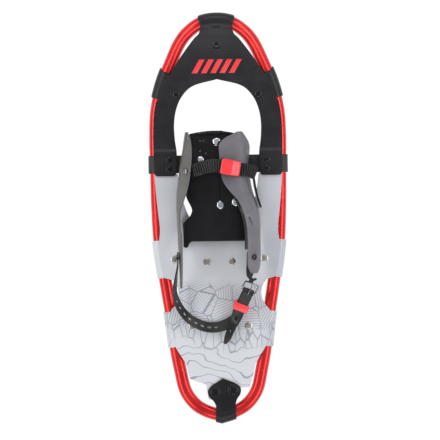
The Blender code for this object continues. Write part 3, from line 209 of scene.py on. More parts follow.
finishes = {
    "redTube": metal("redTube", (0.66, 0.014, 0.016), (0.74, 0.022, 0.021), 0.24, (30.0, 9.0, 30.0),
                     0.000002,
                     {"Metallic": 0.75, "Coat Weight": 0.35, "Coat Roughness": 0.16}),
    "steelPlate": metal("steelPlate", (0.36, 0.35, 0.34), (0.56, 0.55, 0.53), 0.3, (20.0, 200.0, 60.0)),
    "brightDome": metal("brightDome", (0.44, 0.42, 0.4), (0.6, 0.57, 0.54), 0.26, depth=0.000004),
    "mirrorDome": metal("mirrorDome", (0.56, 0.6, 0.66), (0.8, 0.83, 0.88), 0.12, depth=0.000003),
    "blackDome": metal("blackDome", (0.01, 0.01, 0.012), (0.022, 0.022, 0.025), 0.16,
                       settings={"Coat Weight": 0.5}),
    "buckleSteel": metal("buckleSteel", (0.1, 0.09, 0.11), (0.34, 0.33, 0.38), 0.16),
    "deckBlack": moulding("deckBlack", (0.012, 0.0115, 0.014), (0.018, 0.0175, 0.0215), 0.36, 1900.0,
                          0.00006,
                          settings={"Specular IOR Level": 0.32}),
    "mouldBlack": moulding("mouldBlack", (0.0075, 0.0072, 0.009), (0.0125, 0.012, 0.015), 0.34, 1500.0,
                           0.00005,
                           settings={"Specular IOR Level": 0.3}),
    # both wings are one grey: the left wing's copy is painted darker as shade, the right wing's copy
    # painted lighter and bluer as light
    "wingGreyPaintedShade": moulding("wingGreyPaintedShade", (0.11, 0.107, 0.1), (0.145, 0.14, 0.132), 0.42, 2200.0, 0.00005),
    "wingGreyPaintedLight": moulding("wingGreyPaintedLight", (0.135, 0.13, 0.148), (0.168, 0.162, 0.182), 0.42, 2200.0, 0.00005),
    "ribBlack": moulding("ribBlack", (0.012, 0.012, 0.013), (0.024, 0.023, 0.024), 0.38, 1800.0,
                         settings={"Specular IOR Level": 0.35}),
    "strapDark": moulding("strapDark", (0.017, 0.016, 0.016), (0.03, 0.028, 0.028), 0.34, 1700.0,
                          settings={"Specular IOR Level": 0.35}),
    "redMould": moulding("redMould", (0.86, 0.036, 0.046), (0.95, 0.05, 0.062), 0.28, 1200.0, 0.00003,
                         settings={"Coat Weight": 0.3}),
    "toeTape": wovenTape("toeTape", (0.01, 0.01, 0.011), (0.02, 0.02, 0.023)),
    # the pale deck's second colour is the painted shade beside the tubes
    "paleDeck": printedSheet("paleDeck", (0.6, 0.62, 0.66), (0.3, 0.32, 0.37), (0.16, 0.18, 0.23)),
}
print("finishes made")


# the shoe's sizes, in metres, and its outline as shares of half the width and length
shoe = {
    "length": 0.635, "width": 0.216, "tube": 0.01, "tubeBottom": 0.014, "gap": 0.0003,
    "noseBend": 0.13, "noseLift": 0.06, "tailBend": -0.215, "tailLift": 0.012,
    "deckSheet": 0.002, "wrapSheet": 0.0017, "cordSheet": 0.002, "clipSheet": 0.0022,
    "leadIn": 0.006,
    "line": [
        (0.224, -0.979), (0.388, -0.95), (0.515, -0.906), (0.587, -0.862), (0.653, -0.771),
        (0.714, -0.667), (0.77, -0.52), (0.872, -0.309), (0.955, -0.12), (0.985, 0.07),
        (0.994, 0.25), (1.0, 0.44), (0.977, 0.559), (0.88, 0.689), (0.73, 0.803),
        (0.577, 0.899), (0.449, 0.946), (0.245, 0.988),
    ],
}
gap = shoe["gap"]
tubeRadius = shoe["tube"]
tubeZ = shoe["tubeBottom"] + tubeRadius
halfLength = shoe["length"] / 2 - tubeRadius
halfWidth = shoe["width"] / 2 - tubeRadius
deckUnder = tubeZ + tubeRadius + gap
deckTop = deckUnder + shoe["deckSheet"]
deckMiddle = tubeRadius + gap + shoe["deckSheet"] / 2
flapMiddle = tubeRadius - shoe["wrapSheet"] / 2
cordTop = deckUnder - gap
noseAngle = 2 * math.atan(shoe["noseLift"] / (halfLength - shoe["noseBend"]))
noseRadius = (halfLength - shoe["noseBend"]) / math.sin(noseAngle)
tailAngle = 2 * math.atan(shoe["tailLift"] / (halfLength + shoe["tailBend"]))
tailRadius = (halfLength + shoe["tailBend"]) / math.sin(tailAngle)
identity = Matrix.Identity(4)


def smoothPath(points, steps):
    # centripetal Catmull-Rom through the points
    knots = [Vector(p) for p in points]
    knots = [2 * knots[0] - knots[1]] + knots + [2 * knots[-1] - knots[-2]]
    path = []
    for p0, p1, p2, p3 in zip(knots, knots[1:], knots[2:], knots[3:]):
        t1 = (p1 - p0).length ** 0.5
        t2 = t1 + (p2 - p1).length ** 0.5
        t3 = t2 + (p3 - p2).length ** 0.5
        for i in range(steps):
            t = t1 + (t2 - t1) * i / steps
            a1 = p0.lerp(p1, t / t1)
            a2 = p1.lerp(p2, (t - t1) / (t2 - t1))
            a3 = p2.lerp(p3, (t - t2) / (t3 - t2))
            path.append(a1.lerp(a2, t / t2).lerp(a2.lerp(a3, (t - t1) / (t3 - t1)), (t - t1) / (t2 - t1)))
    return path + [knots[-2]]


def smoothFlat(points, steps):
    return [(p.x, p.y) for p in smoothPath([(x, y, 0) for x, y in points], steps)]


def flatLength(y):
    # how far along the frame, before bending, the shoe reaches y
    if y > shoe["noseBend"]:
        return shoe["noseBend"] + noseRadius * math.asin((y - shoe["noseBend"]) / noseRadius)
    if y < shoe["tailBend"]:
        return shoe["tailBend"] + tailRadius * math.asin((y - shoe["tailBend"]) / tailRadius)
    return y


def bendAngle(s):
    if s > shoe["noseBend"]:
        return (s - shoe["noseBend"]) / noseRadius
    return (s - shoe["tailBend"]) / tailRadius if s < shoe["tailBend"] else 0.0


def bent(x, s, w):
    angle = bendAngle(s)
    start, radius = (shoe["noseBend"], noseRadius) if s > 0 else (shoe["tailBend"], tailRadius)
    y = start + radius * math.sin(angle) if angle else s
    lift = radius * (1 - math.cos(angle))
    return Vector((x, y - w * math.sin(angle), tubeZ + lift + w * math.cos(angle)))


def bendMatrix(x, y):
    s = flatLength(y)
    return Matrix.Translation(bent(x, s, 0.0)) @ Matrix.Rotation(bendAngle(s), 4, "X")


def fromMesh(name, work):
    mesh = bpy.data.meshes.new(name)
    work.to_mesh(mesh)
    work.free()
    made = bpy.data.objects.new(name, mesh)
    bpy.context.scene.collection.objects.link(made)
    return made


def frozen(source):
    # modifiers applied, loose caps welded, world placement baked in
    bpy.context.view_layer.update()
    graph = bpy.context.evaluated_depsgraph_get()
    mesh = bpy.data.meshes.new_from_object(source.evaluated_get(graph))
    mesh.transform(source.matrix_world)
    work = bmesh.new()
    work.from_mesh(mesh)
    bmesh.ops.remove_doubles(work, verts=work.verts, dist=1e-6)
    label = source.name
    bpy.data.objects.remove(source, do_unlink=True)
    bpy.data.meshes.remove(mesh)
    return fromMesh(label, work)


def bevelled(made, width, segments=2, angle=35):
    bevel = made.modifiers.new("Edge", "BEVEL")
    bevel.width = width
    bevel.segments = segments
    bevel.limit_method = "ANGLE"
    bevel.angle_limit = math.radians(angle)
    bevel.harden_normals = False
    return frozen(made)


def slab(name, outline, holes, bottom, thickness, edge=0.0004):
    # flat sheet from an outline and round holes (x, y, radius), with rounded edges
    curve = bpy.data.curves.new(name, "CURVE")
    curve.dimensions = "2D"
    curve.fill_mode = "BOTH"
    curve.extrude = thickness / 2 - edge
    curve.bevel_depth = edge
    curve.bevel_resolution = 2
    curve.offset = -edge
    rings = [outline]
    for x, y, radius in holes:
        turns = [i * math.tau / 32 for i in range(32)]
        rings.append([(x + radius * math.cos(a), y + radius * math.sin(a)) for a in turns])
    for ring in rings:
        spline = curve.splines.new("POLY")
        spline.points.add(len(ring) - 1)
        for point, corner in zip(spline.points, ring):
            point.co = (corner[0], corner[1], 0, 1)
        spline.use_cyclic_u = True
    made = bpy.data.objects.new(name, curve)
    bpy.context.scene.collection.objects.link(made)
    made.location.z = bottom + thickness / 2
    return frozen(made)


def sheet(name, rows, thickness, edge=0.0004, offset=0.0):
    # thin shell over a grid of points, its rim rounded
    work = bmesh.new()
    grid = [[work.verts.new(p) for p in row] for row in rows]
    for low, high in zip(grid, grid[1:]):
        for a, b, c, d in zip(low, low[1:], high[1:], high):
            work.faces.new((a, b, c, d))
    made = fromMesh(name, work)
    solid = made.modifiers.new("Thickness", "SOLIDIFY")
    solid.thickness = thickness
    solid.offset = offset
    solid.use_even_offset = True
    return bevelled(made, edge, 2, 50) if edge else frozen(made)


def wire(name, path, radius, sides=6, closed=False):
    curve = bpy.data.curves.new(name, "CURVE")
    curve.dimensions = "3D"
    curve.bevel_depth = radius
    curve.bevel_resolution = sides
    curve.use_fill_caps = not closed
    spline = curve.splines.new("POLY")
    spline.points.add(len(path) - 1)
    for point, spot in zip(spline.points, path):
        point.co = (*spot, 1)
    spline.use_cyclic_u = closed
    made = bpy.data.objects.new(name, curve)
    bpy.context.scene.collection.objects.link(made)
    return frozen(made)


def turned(name, profile, matrix=identity, steps=40):
    # (radius, height) pairs listed top to bottom, turned about Z
    work = bmesh.new()
    points = [work.verts.new((radius, 0, height)) for radius, height in profile]
    for a, b in zip(points, points[1:]):
        work.edges.new((a, b))
    made = fromMesh(name, work)
    screw = made.modifiers.new("Turn", "SCREW")
    screw.steps = steps
    screw.render_steps = steps
    screw.use_merge_vertices = True
    screw.merge_threshold = 0.00001
    made.matrix_world = matrix
    return frozen(made)


def block(name, size, centre, edge=0.0005, segments=3):
    work = bmesh.new()
    bmesh.ops.create_cube(work, size=1.0)
    bmesh.ops.scale(work, vec=size, verts=work.verts)
    bmesh.ops.translate(work, vec=centre, verts=work.verts)
    made = fromMesh(name, work)
    return bevelled(made, edge, segments) if edge else made


def moved(made, matrix):
    made.data.transform(matrix)
    return made


def combined(base, others):
    # base less the others
    for other in others:
        cut = base.modifiers.new("Cut", "BOOLEAN")
        cut.operation = "DIFFERENCE"
        cut.solver = "EXACT"
        cut.object = other
    made = frozen(base)
    for other in others:
        bpy.data.objects.remove(other, do_unlink=True)
    return made


def joined(name, objects):
    work = bmesh.new()
    for made in objects:
        work.from_mesh(made.data)
        bpy.data.objects.remove(made, do_unlink=True)
    return fromMesh(name, work)


def bore(matrix, radius, depth=0.012):
    return turned("bore", [(0, depth), (radius, depth), (radius, -depth), (0, -depth)], matrix, 32)


def bendSheet(made, spacing=0.006):
    # cuts a flat piece across its length, then bends it as the frame bends
    work = bmesh.new()
    work.from_mesh(made.data)
    low = min(v.co.y for v in work.verts)
    high = max(v.co.y for v in work.verts)
    stations = [shoe["noseBend"] + spacing * i for i in range(int(0.25 / spacing))]
    stations += [shoe["tailBend"] - spacing * i for i in range(int(0.12 / spacing))]
    for station in stations:
        if low < station < high:
            every = work.verts[:] + work.edges[:] + work.faces[:]
            bmesh.ops.bisect_plane(work, geom=every, dist=1e-7, plane_co=(0, station, 0),
                    plane_no=(0, 1, 0))
    for vert in work.verts:
        vert.co = bent(vert.co.x, vert.co.y, vert.co.z - tubeZ)
    work.to_mesh(made.data)
    work.free()
    return made


def dress(made, name, finish, body, slot, *nodes, angle=38):
    # final name, smooth shading, finish, and the CAD nodes it stands for
    made.name = name
    made.data.materials.clear()
    made.data.materials.append(finishes[finish])
    made.data.polygons.foreach_set("use_smooth", [True] * len(made.data.polygons))
    made.data.set_sharp_from_angle(angle=math.radians(angle))
    if body:
        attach(made, body)
    if nodes:
        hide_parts(*nodes)
    return made


def frameLine(steps):
    half = [(a * halfWidth, flatLength(b * halfLength)) for a, b in shoe["line"]]
    right = [(0.0005, flatLength(-halfLength))] + half
    nose = [(0.0, flatLength(halfLength))]
    left = [(-x, s) for x, s in reversed(right)]
    return smoothPath([(x, s, tubeZ) for x, s in right + nose + left], steps)


line = frameLine(8)
middle = len(line) // 2


def tubeX(y):
    s = flatLength(y)
    for low, high in zip(line[:middle], line[1:]):
        if low.y <= s <= high.y:
            return low.x + (high.x - low.x) * (s - low.y) / (high.y - low.y)
    return 0.0


def flat(points):
    return [(x, flatLength(y)) for x, y in points]


def roundTheTube(radius, reach, height):
    # section of a sheet from the tube's top, round its outer side and straight inboard
    start, step = 90.0, 7.5
    target = Vector((-reach, height))
    end = math.degrees(math.atan2(height, -reach) + math.acos(radius / target.length)) - 360
    count = math.ceil((start - end) / step)
    turns = [math.radians(start + (end - start) * i / count) for i in range(count + 1)]
    return [(radius * math.cos(a), radius * math.sin(a)) for a in turns] + [tuple(target)]


def wrapProfile(radius, rivet):
    start = [(-shoe["leadIn"], radius)]
    return start + roundTheTube(radius, rivet - 0.0045, flapMiddle) + [(-rivet - 0.0055, flapMiddle)]


def sideBand(yFront, yRear, side, profile):
    rows = []
    count = 10
    for i in range(count + 1):
        y = yFront + (yRear - yFront) * i / count
        slope = (tubeX(y + 0.002) - tubeX(y - 0.002)) / (flatLength(y + 0.002) - flatLength(y - 0.002))
        outward = Vector((1, -slope, 0)).normalized()
        centre = Vector((tubeX(y), flatLength(y), tubeZ))
        row = [centre + outward * u + Vector((0, 0, w)) for u, w in profile]
        rows.append([Vector((side * p.x, p.y, p.z)) for p in row])
    return sheet("band", rows, shoe["wrapSheet"])


def endStation(x, end):
    for low, high in zip(line, line[1:]):
        if end * low.y > 0.9 * halfLength and min(low.x, high.x) <= x <= max(low.x, high.x):
            share = (x - low.x) / (high.x - low.x)
            along = (high - low).normalized()
            outward = Vector((-along.y, along.x, 0))
            if end < 0:
                outward = Vector((x / 0.4, -1, 0)).normalized()
            return low.lerp(high, share), outward if outward.y * end > 0 else -outward
    return endStation(math.copysign(0.0005, x) * 1.001, end)


def endBand(xLow, xHigh, end, profile, thickness):
    rows = []
    count = 14
    for i in range(count + 1):
        centre, outward = endStation(xLow + (xHigh - xLow) * i / count, end)
        rows.append([centre + outward * u + Vector((0, 0, w)) for u, w in profile])
    return sheet("band", rows, thickness)


# a strap: a closed ring of (across, up) points swept along a path, with optional ribs on top
def strapAlong(name, places, acrosses, section, ribs=None, narrow=None):
    work = bmesh.new()
    rings = []
    run = 0.0
    count = len(places)
    for i, (spot, across) in enumerate(zip(places, acrosses)):
        if i:
            run += (spot - places[i - 1]).length
        ahead = (places[min(i + 1, count - 1)] - places[max(i - 1, 0)]).normalized()
        wide = (across - ahead * across.dot(ahead)).normalized()
        up = wide.cross(ahead)
        size = narrow(run) if narrow else 1.0
        ring = []
        for u, w in section:
            lift = ribs(run, u) if ribs and w > 0 else 0.0
            ring.append(work.verts.new(spot + wide * (u * size) + up * (w + lift)))
        rings.append(ring)
    for low, high in zip(rings, rings[1:]):
        for j in range(len(section)):
            k = (j + 1) % len(section)
            work.faces.new((low[j], low[k], high[k], high[j]))
    work.faces.new(list(reversed(rings[0])))
    work.faces.new(rings[-1])
    bmesh.ops.recalc_face_normals(work, faces=work.faces)
    return fromMesh(name, work)


def strapSection(width, thickness, round=0.0004, lanes=6):
    # rounded rectangle, with points across the top for ribs to lift
    half = width / 2
    high = thickness / 2
    top = [(-half + round + (width - 2 * round) * i / lanes, high) for i in range(lanes + 1)]
    low = [(-u, -w) for u, w in top]
    right = [(half, high - round), (half, -high + round)]
    return top + right + low + [(-half, -high + round), (-half, high - round)]


def alongPath(stations, steps):
    path = smoothPath([spot for spot, across in stations], steps)
    turns = [across.normalized() for spot, across in stations]
    acrosses = [a.lerp(b, i / steps).normalized() for a, b in zip(turns, turns[1:]) for i in range(steps)]
    return path, acrosses + [turns[-1]]


def runLengths(path):
    runs = [0.0]
    for a, b in zip(path, path[1:]):
        runs.append(runs[-1] + (b - a).length)
    return runs


def evenly(path, acrosses, spacing):
    # the same run with a point every spacing
    runs = runLengths(path)
    count = max(int(runs[-1] / spacing), 2)
    spots, turns = [], []
    j = 0
    for i in range(count + 1):
        want = runs[-1] * i / count
        while j < len(path) - 2 and runs[j + 1] < want:
            j += 1
        share = (want - runs[j]) / (runs[j + 1] - runs[j])
        spots.append(path[j].lerp(path[j + 1], share))
        turns.append(acrosses[j].lerp(acrosses[j + 1], share).normalized())
    return spots, turns


def domeProfile(head, above, below, shank=0.0019, dome=0.0018):
    # a domed head over the seat height, a shank and a formed end
    foot = 0.0013
    arc = []
    for i in range(9):
        a = math.radians(90 - 80 * i / 8)
        arc.append((head * 0.97 * math.cos(a) / math.cos(math.radians(10)), above + dome * math.sin(a)))
    arc[0] = (0.0, arc[0][1])
    rim = [(head, above + dome * 0.12), (head, above)]
    return arc + rim + [(shank, above), (shank, below), (shank + foot, below),
            (shank + foot, below - 0.0012), (0.0, below - 0.0012)]


def makeTube():
    tube = wire("tube", line, tubeRadius, 10)
    for vert in tube.data.vertices:
        vert.co = bent(vert.co.x, vert.co.y, vert.co.z - tubeZ)
    dress(tube, "bentTube", "redTube", "frame", "red_tube", "frame_tube", angle=60)


makeTube()
print("tube")


toeDeck = {"noseTab": 0.0245, "shoulder": (0.234, 0.191), "legEnd": 0.069, "overhang": 0.0035,
        "noseRivet": (0.0, 0.276), "shoulderRivet": (0.0645, 0.1985), "rivetInset": 0.024,
        "markStrokes": 5, "markPitch": 0.0145, "markWidth": 0.0085, "markRows": (0.233, 0.2545),
        "markLean": 0.006}


def makeToeDeck():
    front, rear = toeDeck["shoulder"]
    end = toeDeck["legEnd"]
    shoulder = [(tubeX(y), y) for y in (front, 0.22, 0.205, rear)]
    leg = [(tubeX(y) + toeDeck["overhang"], y) for y in (0.188, 0.18, 0.17, 0.158, 0.145, 0.125, 0.1,
            end + 0.006)]
    last = tubeX(end) + toeDeck["overhang"]
    corner = [(last - 0.0008, end + 0.003), (last - 0.003, end + 0.0008), (last - 0.006, end),
              (0.0705, end), (0.068, end + 0.0008), (0.0662, end + 0.0026)]
    inner = smoothFlat([(0.0655, end + 0.005), (0.0645, 0.104), (0.0675, 0.128), (0.068, 0.155),
                        (0.064, 0.177), (0.056, 0.195), (0.04, 0.2115), (0.0, 0.223)], 6)
    outer = smoothFlat([(toeDeck["noseTab"], halfLength), (0.027, 0.294), (0.0345, 0.2865), (0.054, 0.2615),
                        (0.062, 0.25), (0.0735, 0.2325)], 5) + [(0.079, 0.2312)]
    half = [(0.0, halfLength)] + outer + shoulder + leg + corner + inner
    outline = flat(half + [(-x, y) for x, y in reversed(half[1:-1])])
    deck = slab("deck", outline, [], deckUnder, shoe["deckSheet"])
    reach = halfLength - toeDeck["noseRivet"][1]
    noseHalf = toeDeck["noseTab"] - 0.0007
    profile = wrapProfile(deckMiddle + 0.0002, reach)
    bands = [endBand(-noseHalf, noseHalf, 1, profile, shoe["wrapSheet"])]
    profile = wrapProfile(deckMiddle, toeDeck["rivetInset"])
    bands += [sideBand(front - 0.0007, rear + 0.0007, side, profile) for side in (-1, 1)]
    # the legs' rear ends lie on the toe cord
    lifted = 0.0875 + 0.014 + 0.004
    work = bmesh.new()
    work.from_mesh(deck.data)
    for i in range(5):
        every = work.verts[:] + work.edges[:] + work.faces[:]
        bmesh.ops.bisect_plane(work, geom=every, dist=1e-7, plane_co=(0, lifted + 0.002 * i, 0),
                               plane_no=(0, 1, 0))
    for vert in work.verts:
        share = min(max((lifted + 0.008 - vert.co.y) / 0.008, 0), 1)
        vert.co.z += share * share * (3 - 2 * share) * (shoe["cordSheet"] + 2 * gap)
    work.to_mesh(deck.data)
    work.free()
    whole = bendSheet(joined("toe", [deck] + bands), 0.005)
    dress(whole, "toeDeckSheet", "deckBlack", "frame", "black_decking", "toe_deck")


def makeMark():
    strokes = []
    low, high = toeDeck["markRows"]
    for i in range(toeDeck["markStrokes"]):
        x = (i - (toeDeck["markStrokes"] - 1) / 2) * toeDeck["markPitch"]
        half = toeDeck["markWidth"] / 2
        lean = toeDeck["markLean"]
        outline = flat([(x - half - lean, low), (x + half - lean, low), (x + half + lean, high),
                        (x - half + lean, high)])
        strokes.append(slab("stroke", outline, [], deckTop - 0.0001, 0.00028, 0.0001))
    mark = bendSheet(joined("mark", strokes), 0.005)
    dress(mark, "toeDeckStripes", "redMould", "frame", "red_polymer")


makeToeDeck()
makeMark()
print("toe deck")


rearDeck = {
    "front": 0.0725, "midTab": (-0.031, -0.091), "lowTab": (-0.143, -0.2), "rivetInset": 0.0185,
    "sideRivet": (0.071, -0.0615), "heelRivets": ((0.019, -0.0665), (0.0445, -0.1675)),
}


def makeRearDeck():
    front = rearDeck["front"]
    mid, low = rearDeck["midTab"], rearDeck["lowTab"]
    opening = smoothFlat([(0.0, -0.016), (0.034, -0.012), (0.046, 0.004), (0.056, 0.03), (0.0605, 0.05),
                          (0.0635, front)], 5)
    side = [(tubeX(y) + d, y) for y, d in ((front, 0.003), (0.052, 0.0018), (0.032, 0.0005),
            (0.012, -0.001), (-0.007, -0.0025), (-0.016, -0.0024), (-0.022, -0.0018), (-0.027, -0.0008))]
    midTab = [(tubeX(y), y) for y in (mid[0], -0.045, -0.06, -0.075, mid[1])]
    cut = smoothFlat([(0.0745, mid[1] - 0.003), (0.068, -0.102), (0.065, -0.1135), (0.0665, -0.125),
                      (0.0705, -0.1335), (0.078, low[0] + 0.001)], 5)[:-1]
    lowTab = [(tubeX(y), y) for y in (low[0], -0.155, -0.17, -0.185, low[1])]
    tail = smoothFlat([(0.066, -0.208), (0.059, -0.219), (0.054, -0.2285), (0.0515, -0.24),
                       (0.048, -0.253), (0.045, -0.264)], 5)
    half = opening + side + midTab + cut + lowTab + tail
    rightEnd = [(0.044, -0.265), (0.024, -0.266), (0.02, -0.284)]
    leftEnd = [(-0.02, -0.284), (-0.024, -0.2605)]
    leftHalf = [(-x, max(y, -0.2515 - 0.35 * (0.047 - x))) for x, y in reversed(half[1:])]
    outline = flat(half + rightEnd + leftEnd + leftHalf)
    deck = slab("deck", outline, [], deckUnder, shoe["deckSheet"])
    bands = []
    for tab in (mid, low):
        for turn in (-1, 1):
            profile = wrapProfile(deckMiddle, rearDeck["rivetInset"])
            bands.append(sideBand(tab[0] - 0.0007, tab[1] + 0.0007, turn, profile))
    whole = bendSheet(joined("rear", [deck] + bands), 0.005)
    dress(whole, "rearDeckSheet", "paleDeck", "frame", "pale_decking", "rear_deck")


makeRearDeck()
print("rear deck")


# two sunken screws hold the clip
clip = {"centre": 0.006, "twist": 5, "screwY": -0.2705, "pitch": 0.029, "ring": 0.0098, "head": 0.0066}


def clipPoint(x, y):
    pivot = Vector((clip["centre"], flatLength(-0.285), 0))
    turn = Matrix.Rotation(math.radians(clip["twist"]), 3, "Z")
    return (pivot + turn @ Vector((x, flatLength(y) - pivot.y, 0))).xy


def makeTailClip():
    half = smoothFlat([(0.0, -0.2503), (0.0095, -0.2553), (0.02, -0.261), (0.026, -0.269), (0.0245, -0.278),
                       (0.0185, -0.286), (0.0158, -0.293), (0.0155, -0.3)], 5)
    outline = [clipPoint(x, y) for x, y in half + [(-x, y) for x, y in reversed(half[1:])]]
    under = deckTop + gap
    sheetHigh = shoe["clipSheet"]
    screws = [clipPoint(turn * clip["pitch"] / 2, clip["screwY"]) for turn in (-1, 1)]
    plate = slab("clip", outline, [(x, y, 0.0074) for x, y in screws], under, sheetHigh, 0.0006)
    mid = under + sheetHigh / 2 - tubeZ
    hug = tubeRadius + 0.0008 + sheetHigh / 2
    turns = [math.radians(80 - 8.5 * i) for i in range(21)]
    profile = [(-0.0125, mid), (-0.0085, mid),
               (-0.004, mid)] + [(hug * math.cos(a), hug * math.sin(a)) for a in turns]
    band = endBand(clip["centre"] - 0.015, clip["centre"] + 0.0165, -1, profile, sheetHigh - 0.0002)
    rings = []
    for x, y in screws:
        lip = [(0.0074, sheetHigh), (clip["ring"] - 0.0012, sheetHigh + 0.0007),
                (clip["ring"] - 0.0004, sheetHigh + 0.0005), (clip["ring"], sheetHigh - 0.0002),
                (0.0074, sheetHigh - 0.0014), (0.007, sheetHigh), (0.0074, sheetHigh)]
        rings.append(turned("lip", lip, Matrix.Translation((x, y, under))))
        floor = [(0.0, 0.0009), (0.0076, 0.0009), (0.0076, 0.0003), (0.0, 0.0003)]
        rings.append(turned("floor", floor, Matrix.Translation((x, y, under))))
    whole = bendSheet(joined("clip", [plate, band] + rings), 0.003)
    dress(whole, "tailClipMoulding", "mouldBlack", "frame", "black_polymer", "tail_clip")
    for (x, s), word in zip(screws, ("left", "right")):
        matrix = bendMatrix(x, bent(x, s, 0).y)
        top = under - tubeZ + 0.0012
        head = turned("head", domeProfile(clip["head"], top, -0.002, 0.002, 0.0016), matrix)
        # star drive
        lobes = [(r * math.cos(a), r * math.sin(a)) for a, r in
                 ((math.tau * i / 24,
                   0.0027 + 0.0006 * math.cos(6 * math.tau * i / 24)) for i in range(24))]
        star = moved(slab("star", lobes, [], -0.0008, 0.003, 0.0001),
                     matrix @ Matrix.Translation((0, 0, top + 0.0016)))
        head = combined(head, [star])
        dress(head, f"{word}TailScrew", "blackDome", "frame", "black_rivet", f"tail_screw_{word}")


makeTailClip()
print("tail clip")


binding = {"x": -0.0065, "half": 0.0495, "front": 0.138, "rear": -0.034, "cordY": 0.0875,
           "cordWidth": 0.028,
           "cordZ": 0.033, "cordHole": (-0.028, 0.093), "sheet": 0.0045, "wing": 0.0025}
flangeUnder = deckTop + 0.0004
flangeZ = flangeUnder + binding["wing"] / 2
sideZ = flangeZ + 0.0003
bedUnder = flangeUnder + binding["wing"] + 0.001
bedTop = bedUnder + binding["sheet"]


def makeToeCord(word, side):
    over = tubeRadius + gap + shoe["cordSheet"] / 2
    flatW = cordTop - shoe["cordSheet"] / 2 - tubeZ
    centre = tubeX(binding["cordY"])
    under = flatW - shoe["cordSheet"] - gap
    section = [((centre - 0.015) * i / 22, flatW) for i in range(23)]
    section += [(centre + u, w) for u, w in roundTheTube(over, 0.0165, under)]
    section += [(centre - 0.027, under)]
    half = binding["cordWidth"] / 2
    rows = []
    for i in range(9):
        y = binding["cordY"] + half - 2 * half * i / 8
        rows.append([(side * x, y, tubeZ + w) for x, w in section])
    tape = sheet("tape", rows, shoe["cordSheet"], 0.0005)
    if side < 0:
        # the left tape also takes the footbed's rivet and stands for the middle of the cord
        x, y = binding["cordHole"]
        tape = combined(tape, [bore(Matrix.Translation((x, y, binding["cordZ"])), 0.0022)])
    nodes = [f"toe_cord_{word}"] + (["toe_cord_middle"] if side < 0 else [])
    dress(tape, f"{word}ToeTape", "toeTape", None, "toe_webbing", *nodes)
    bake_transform(tape)


makeToeCord("left", -1)
makeToeCord("right", 1)
print("toe cord")


rivets = {"deckHead": 0.0055, "cordHead": 0.0047, "steelHead": 0.0062, "bedHead": 0.0063,
          "bed": ((-0.028, 0.093), (-0.002, 0.122), (0.003, 0.023), (0.027, 0.027))}


def makeRivets():
    sheetTop = deckMiddle + shoe["deckSheet"] / 2
    flapBottom = deckMiddle - shoe["deckSheet"] / 2 - gap - shoe["wrapSheet"]
    rows = [("noseRivet", "nose_rivet", toeDeck["noseRivet"], rivets["deckHead"], sheetTop, flapBottom,
             "blackDome")]
    raised = sheetTop + shoe["cordSheet"] + 2 * gap
    cordFoot = cordTop - 2 * shoe["cordSheet"] - gap - tubeZ
    plateFoot = deckUnder - shoe["wrapSheet"] - 2 * gap - 0.002 - tubeZ
    for side, word in ((-1, "left"), (1, "right")):
        x, y = toeDeck["shoulderRivet"]
        rows.append((f"{word}ShoulderRivet", f"shoulder_rivet_{word}", (side * x, y), rivets["deckHead"],
                     sheetTop, flapBottom, "blackDome"))
        for end, spot in ((1, "front"), (-1, "rear")):
            rows.append((f"{word}{spot.title()}CordRivet", f"cord_rivet_{word}_{spot}",
                         (side * 0.0775,
                          binding["cordY"] + end * 0.00725), rivets["cordHead"], raised, cordFoot,
                         "blackDome"))
        x, y = rearDeck["sideRivet"]
        rows.append((f"{word}SideRivet", f"side_rivet_{word}", (side * x, y), rivets["steelHead"], sheetTop,
                     flapBottom, "brightDome"))
        for (x, y), spot in zip(rearDeck["heelRivets"], ("front", "rear")):
            rows.append((f"{word}{spot.title()}HeelRivet", f"heel_rivet_{word}_{spot}", (side * x, y),
                         rivets["steelHead"], sheetTop, plateFoot, "brightDome"))
    for name, node, (x, y), head, above, below, finish in rows:
        dome = turned("dome", domeProfile(head, above, below), bendMatrix(x, y))
        slotName = "black_rivet" if finish == "blackDome" else "bright_rivet"
        dress(dome, name, finish, "frame", slotName, node)
    for (x, y), word in zip(rivets["bed"], ("left", "front", "centre", "right")):
        foot = (cordTop - shoe["cordSheet"] - gap - 0.002 if y > 0.06 else bedUnder) - tubeZ
        profile = domeProfile(rivets["bedHead"], bedTop - tubeZ, foot, dome=0.0019)
        if y < 0.06:
            profile = profile[:12] + [(0.0019, foot), (0.0, foot)]
        dome = turned("dome", profile, Matrix.Translation((x, y, tubeZ)))
        dress(dome, f"{word}BedRivet", "mirrorDome", "binding", "bright_rivet", f"footbed_rivet_{word}")


makeRivets()
print("rivets")


footbed = {"chevrons": ((-0.023, 0.061), (-0.032, 0.042), (-0.032, 0.026), (-0.025, 0.007),
        (0.002, 0.007), (0.027, 0.008)), "toeHoles": ((-0.028, 0.124), (-0.022, 0.124), (-0.028, 0.108),
        (-0.019, 0.104)), "ribs": (-0.012, -0.008, -0.004, 0.0, 0.004, 0.008, 0.012, 0.016, 0.02)}


def chevron(x, y):
    # a small raised arrowhead with a hollow under it
    outline = [(x - 0.0062, y - 0.0028), (x - 0.0018, y + 0.003), (x + 0.0018, y + 0.003),
            (x + 0.0062, y - 0.0028), (x + 0.004, y - 0.003), (x, y + 0.0004), (x - 0.004, y - 0.003)]
    return slab("chevron", outline, [], bedTop - 0.001, 0.0024, 0.0004)


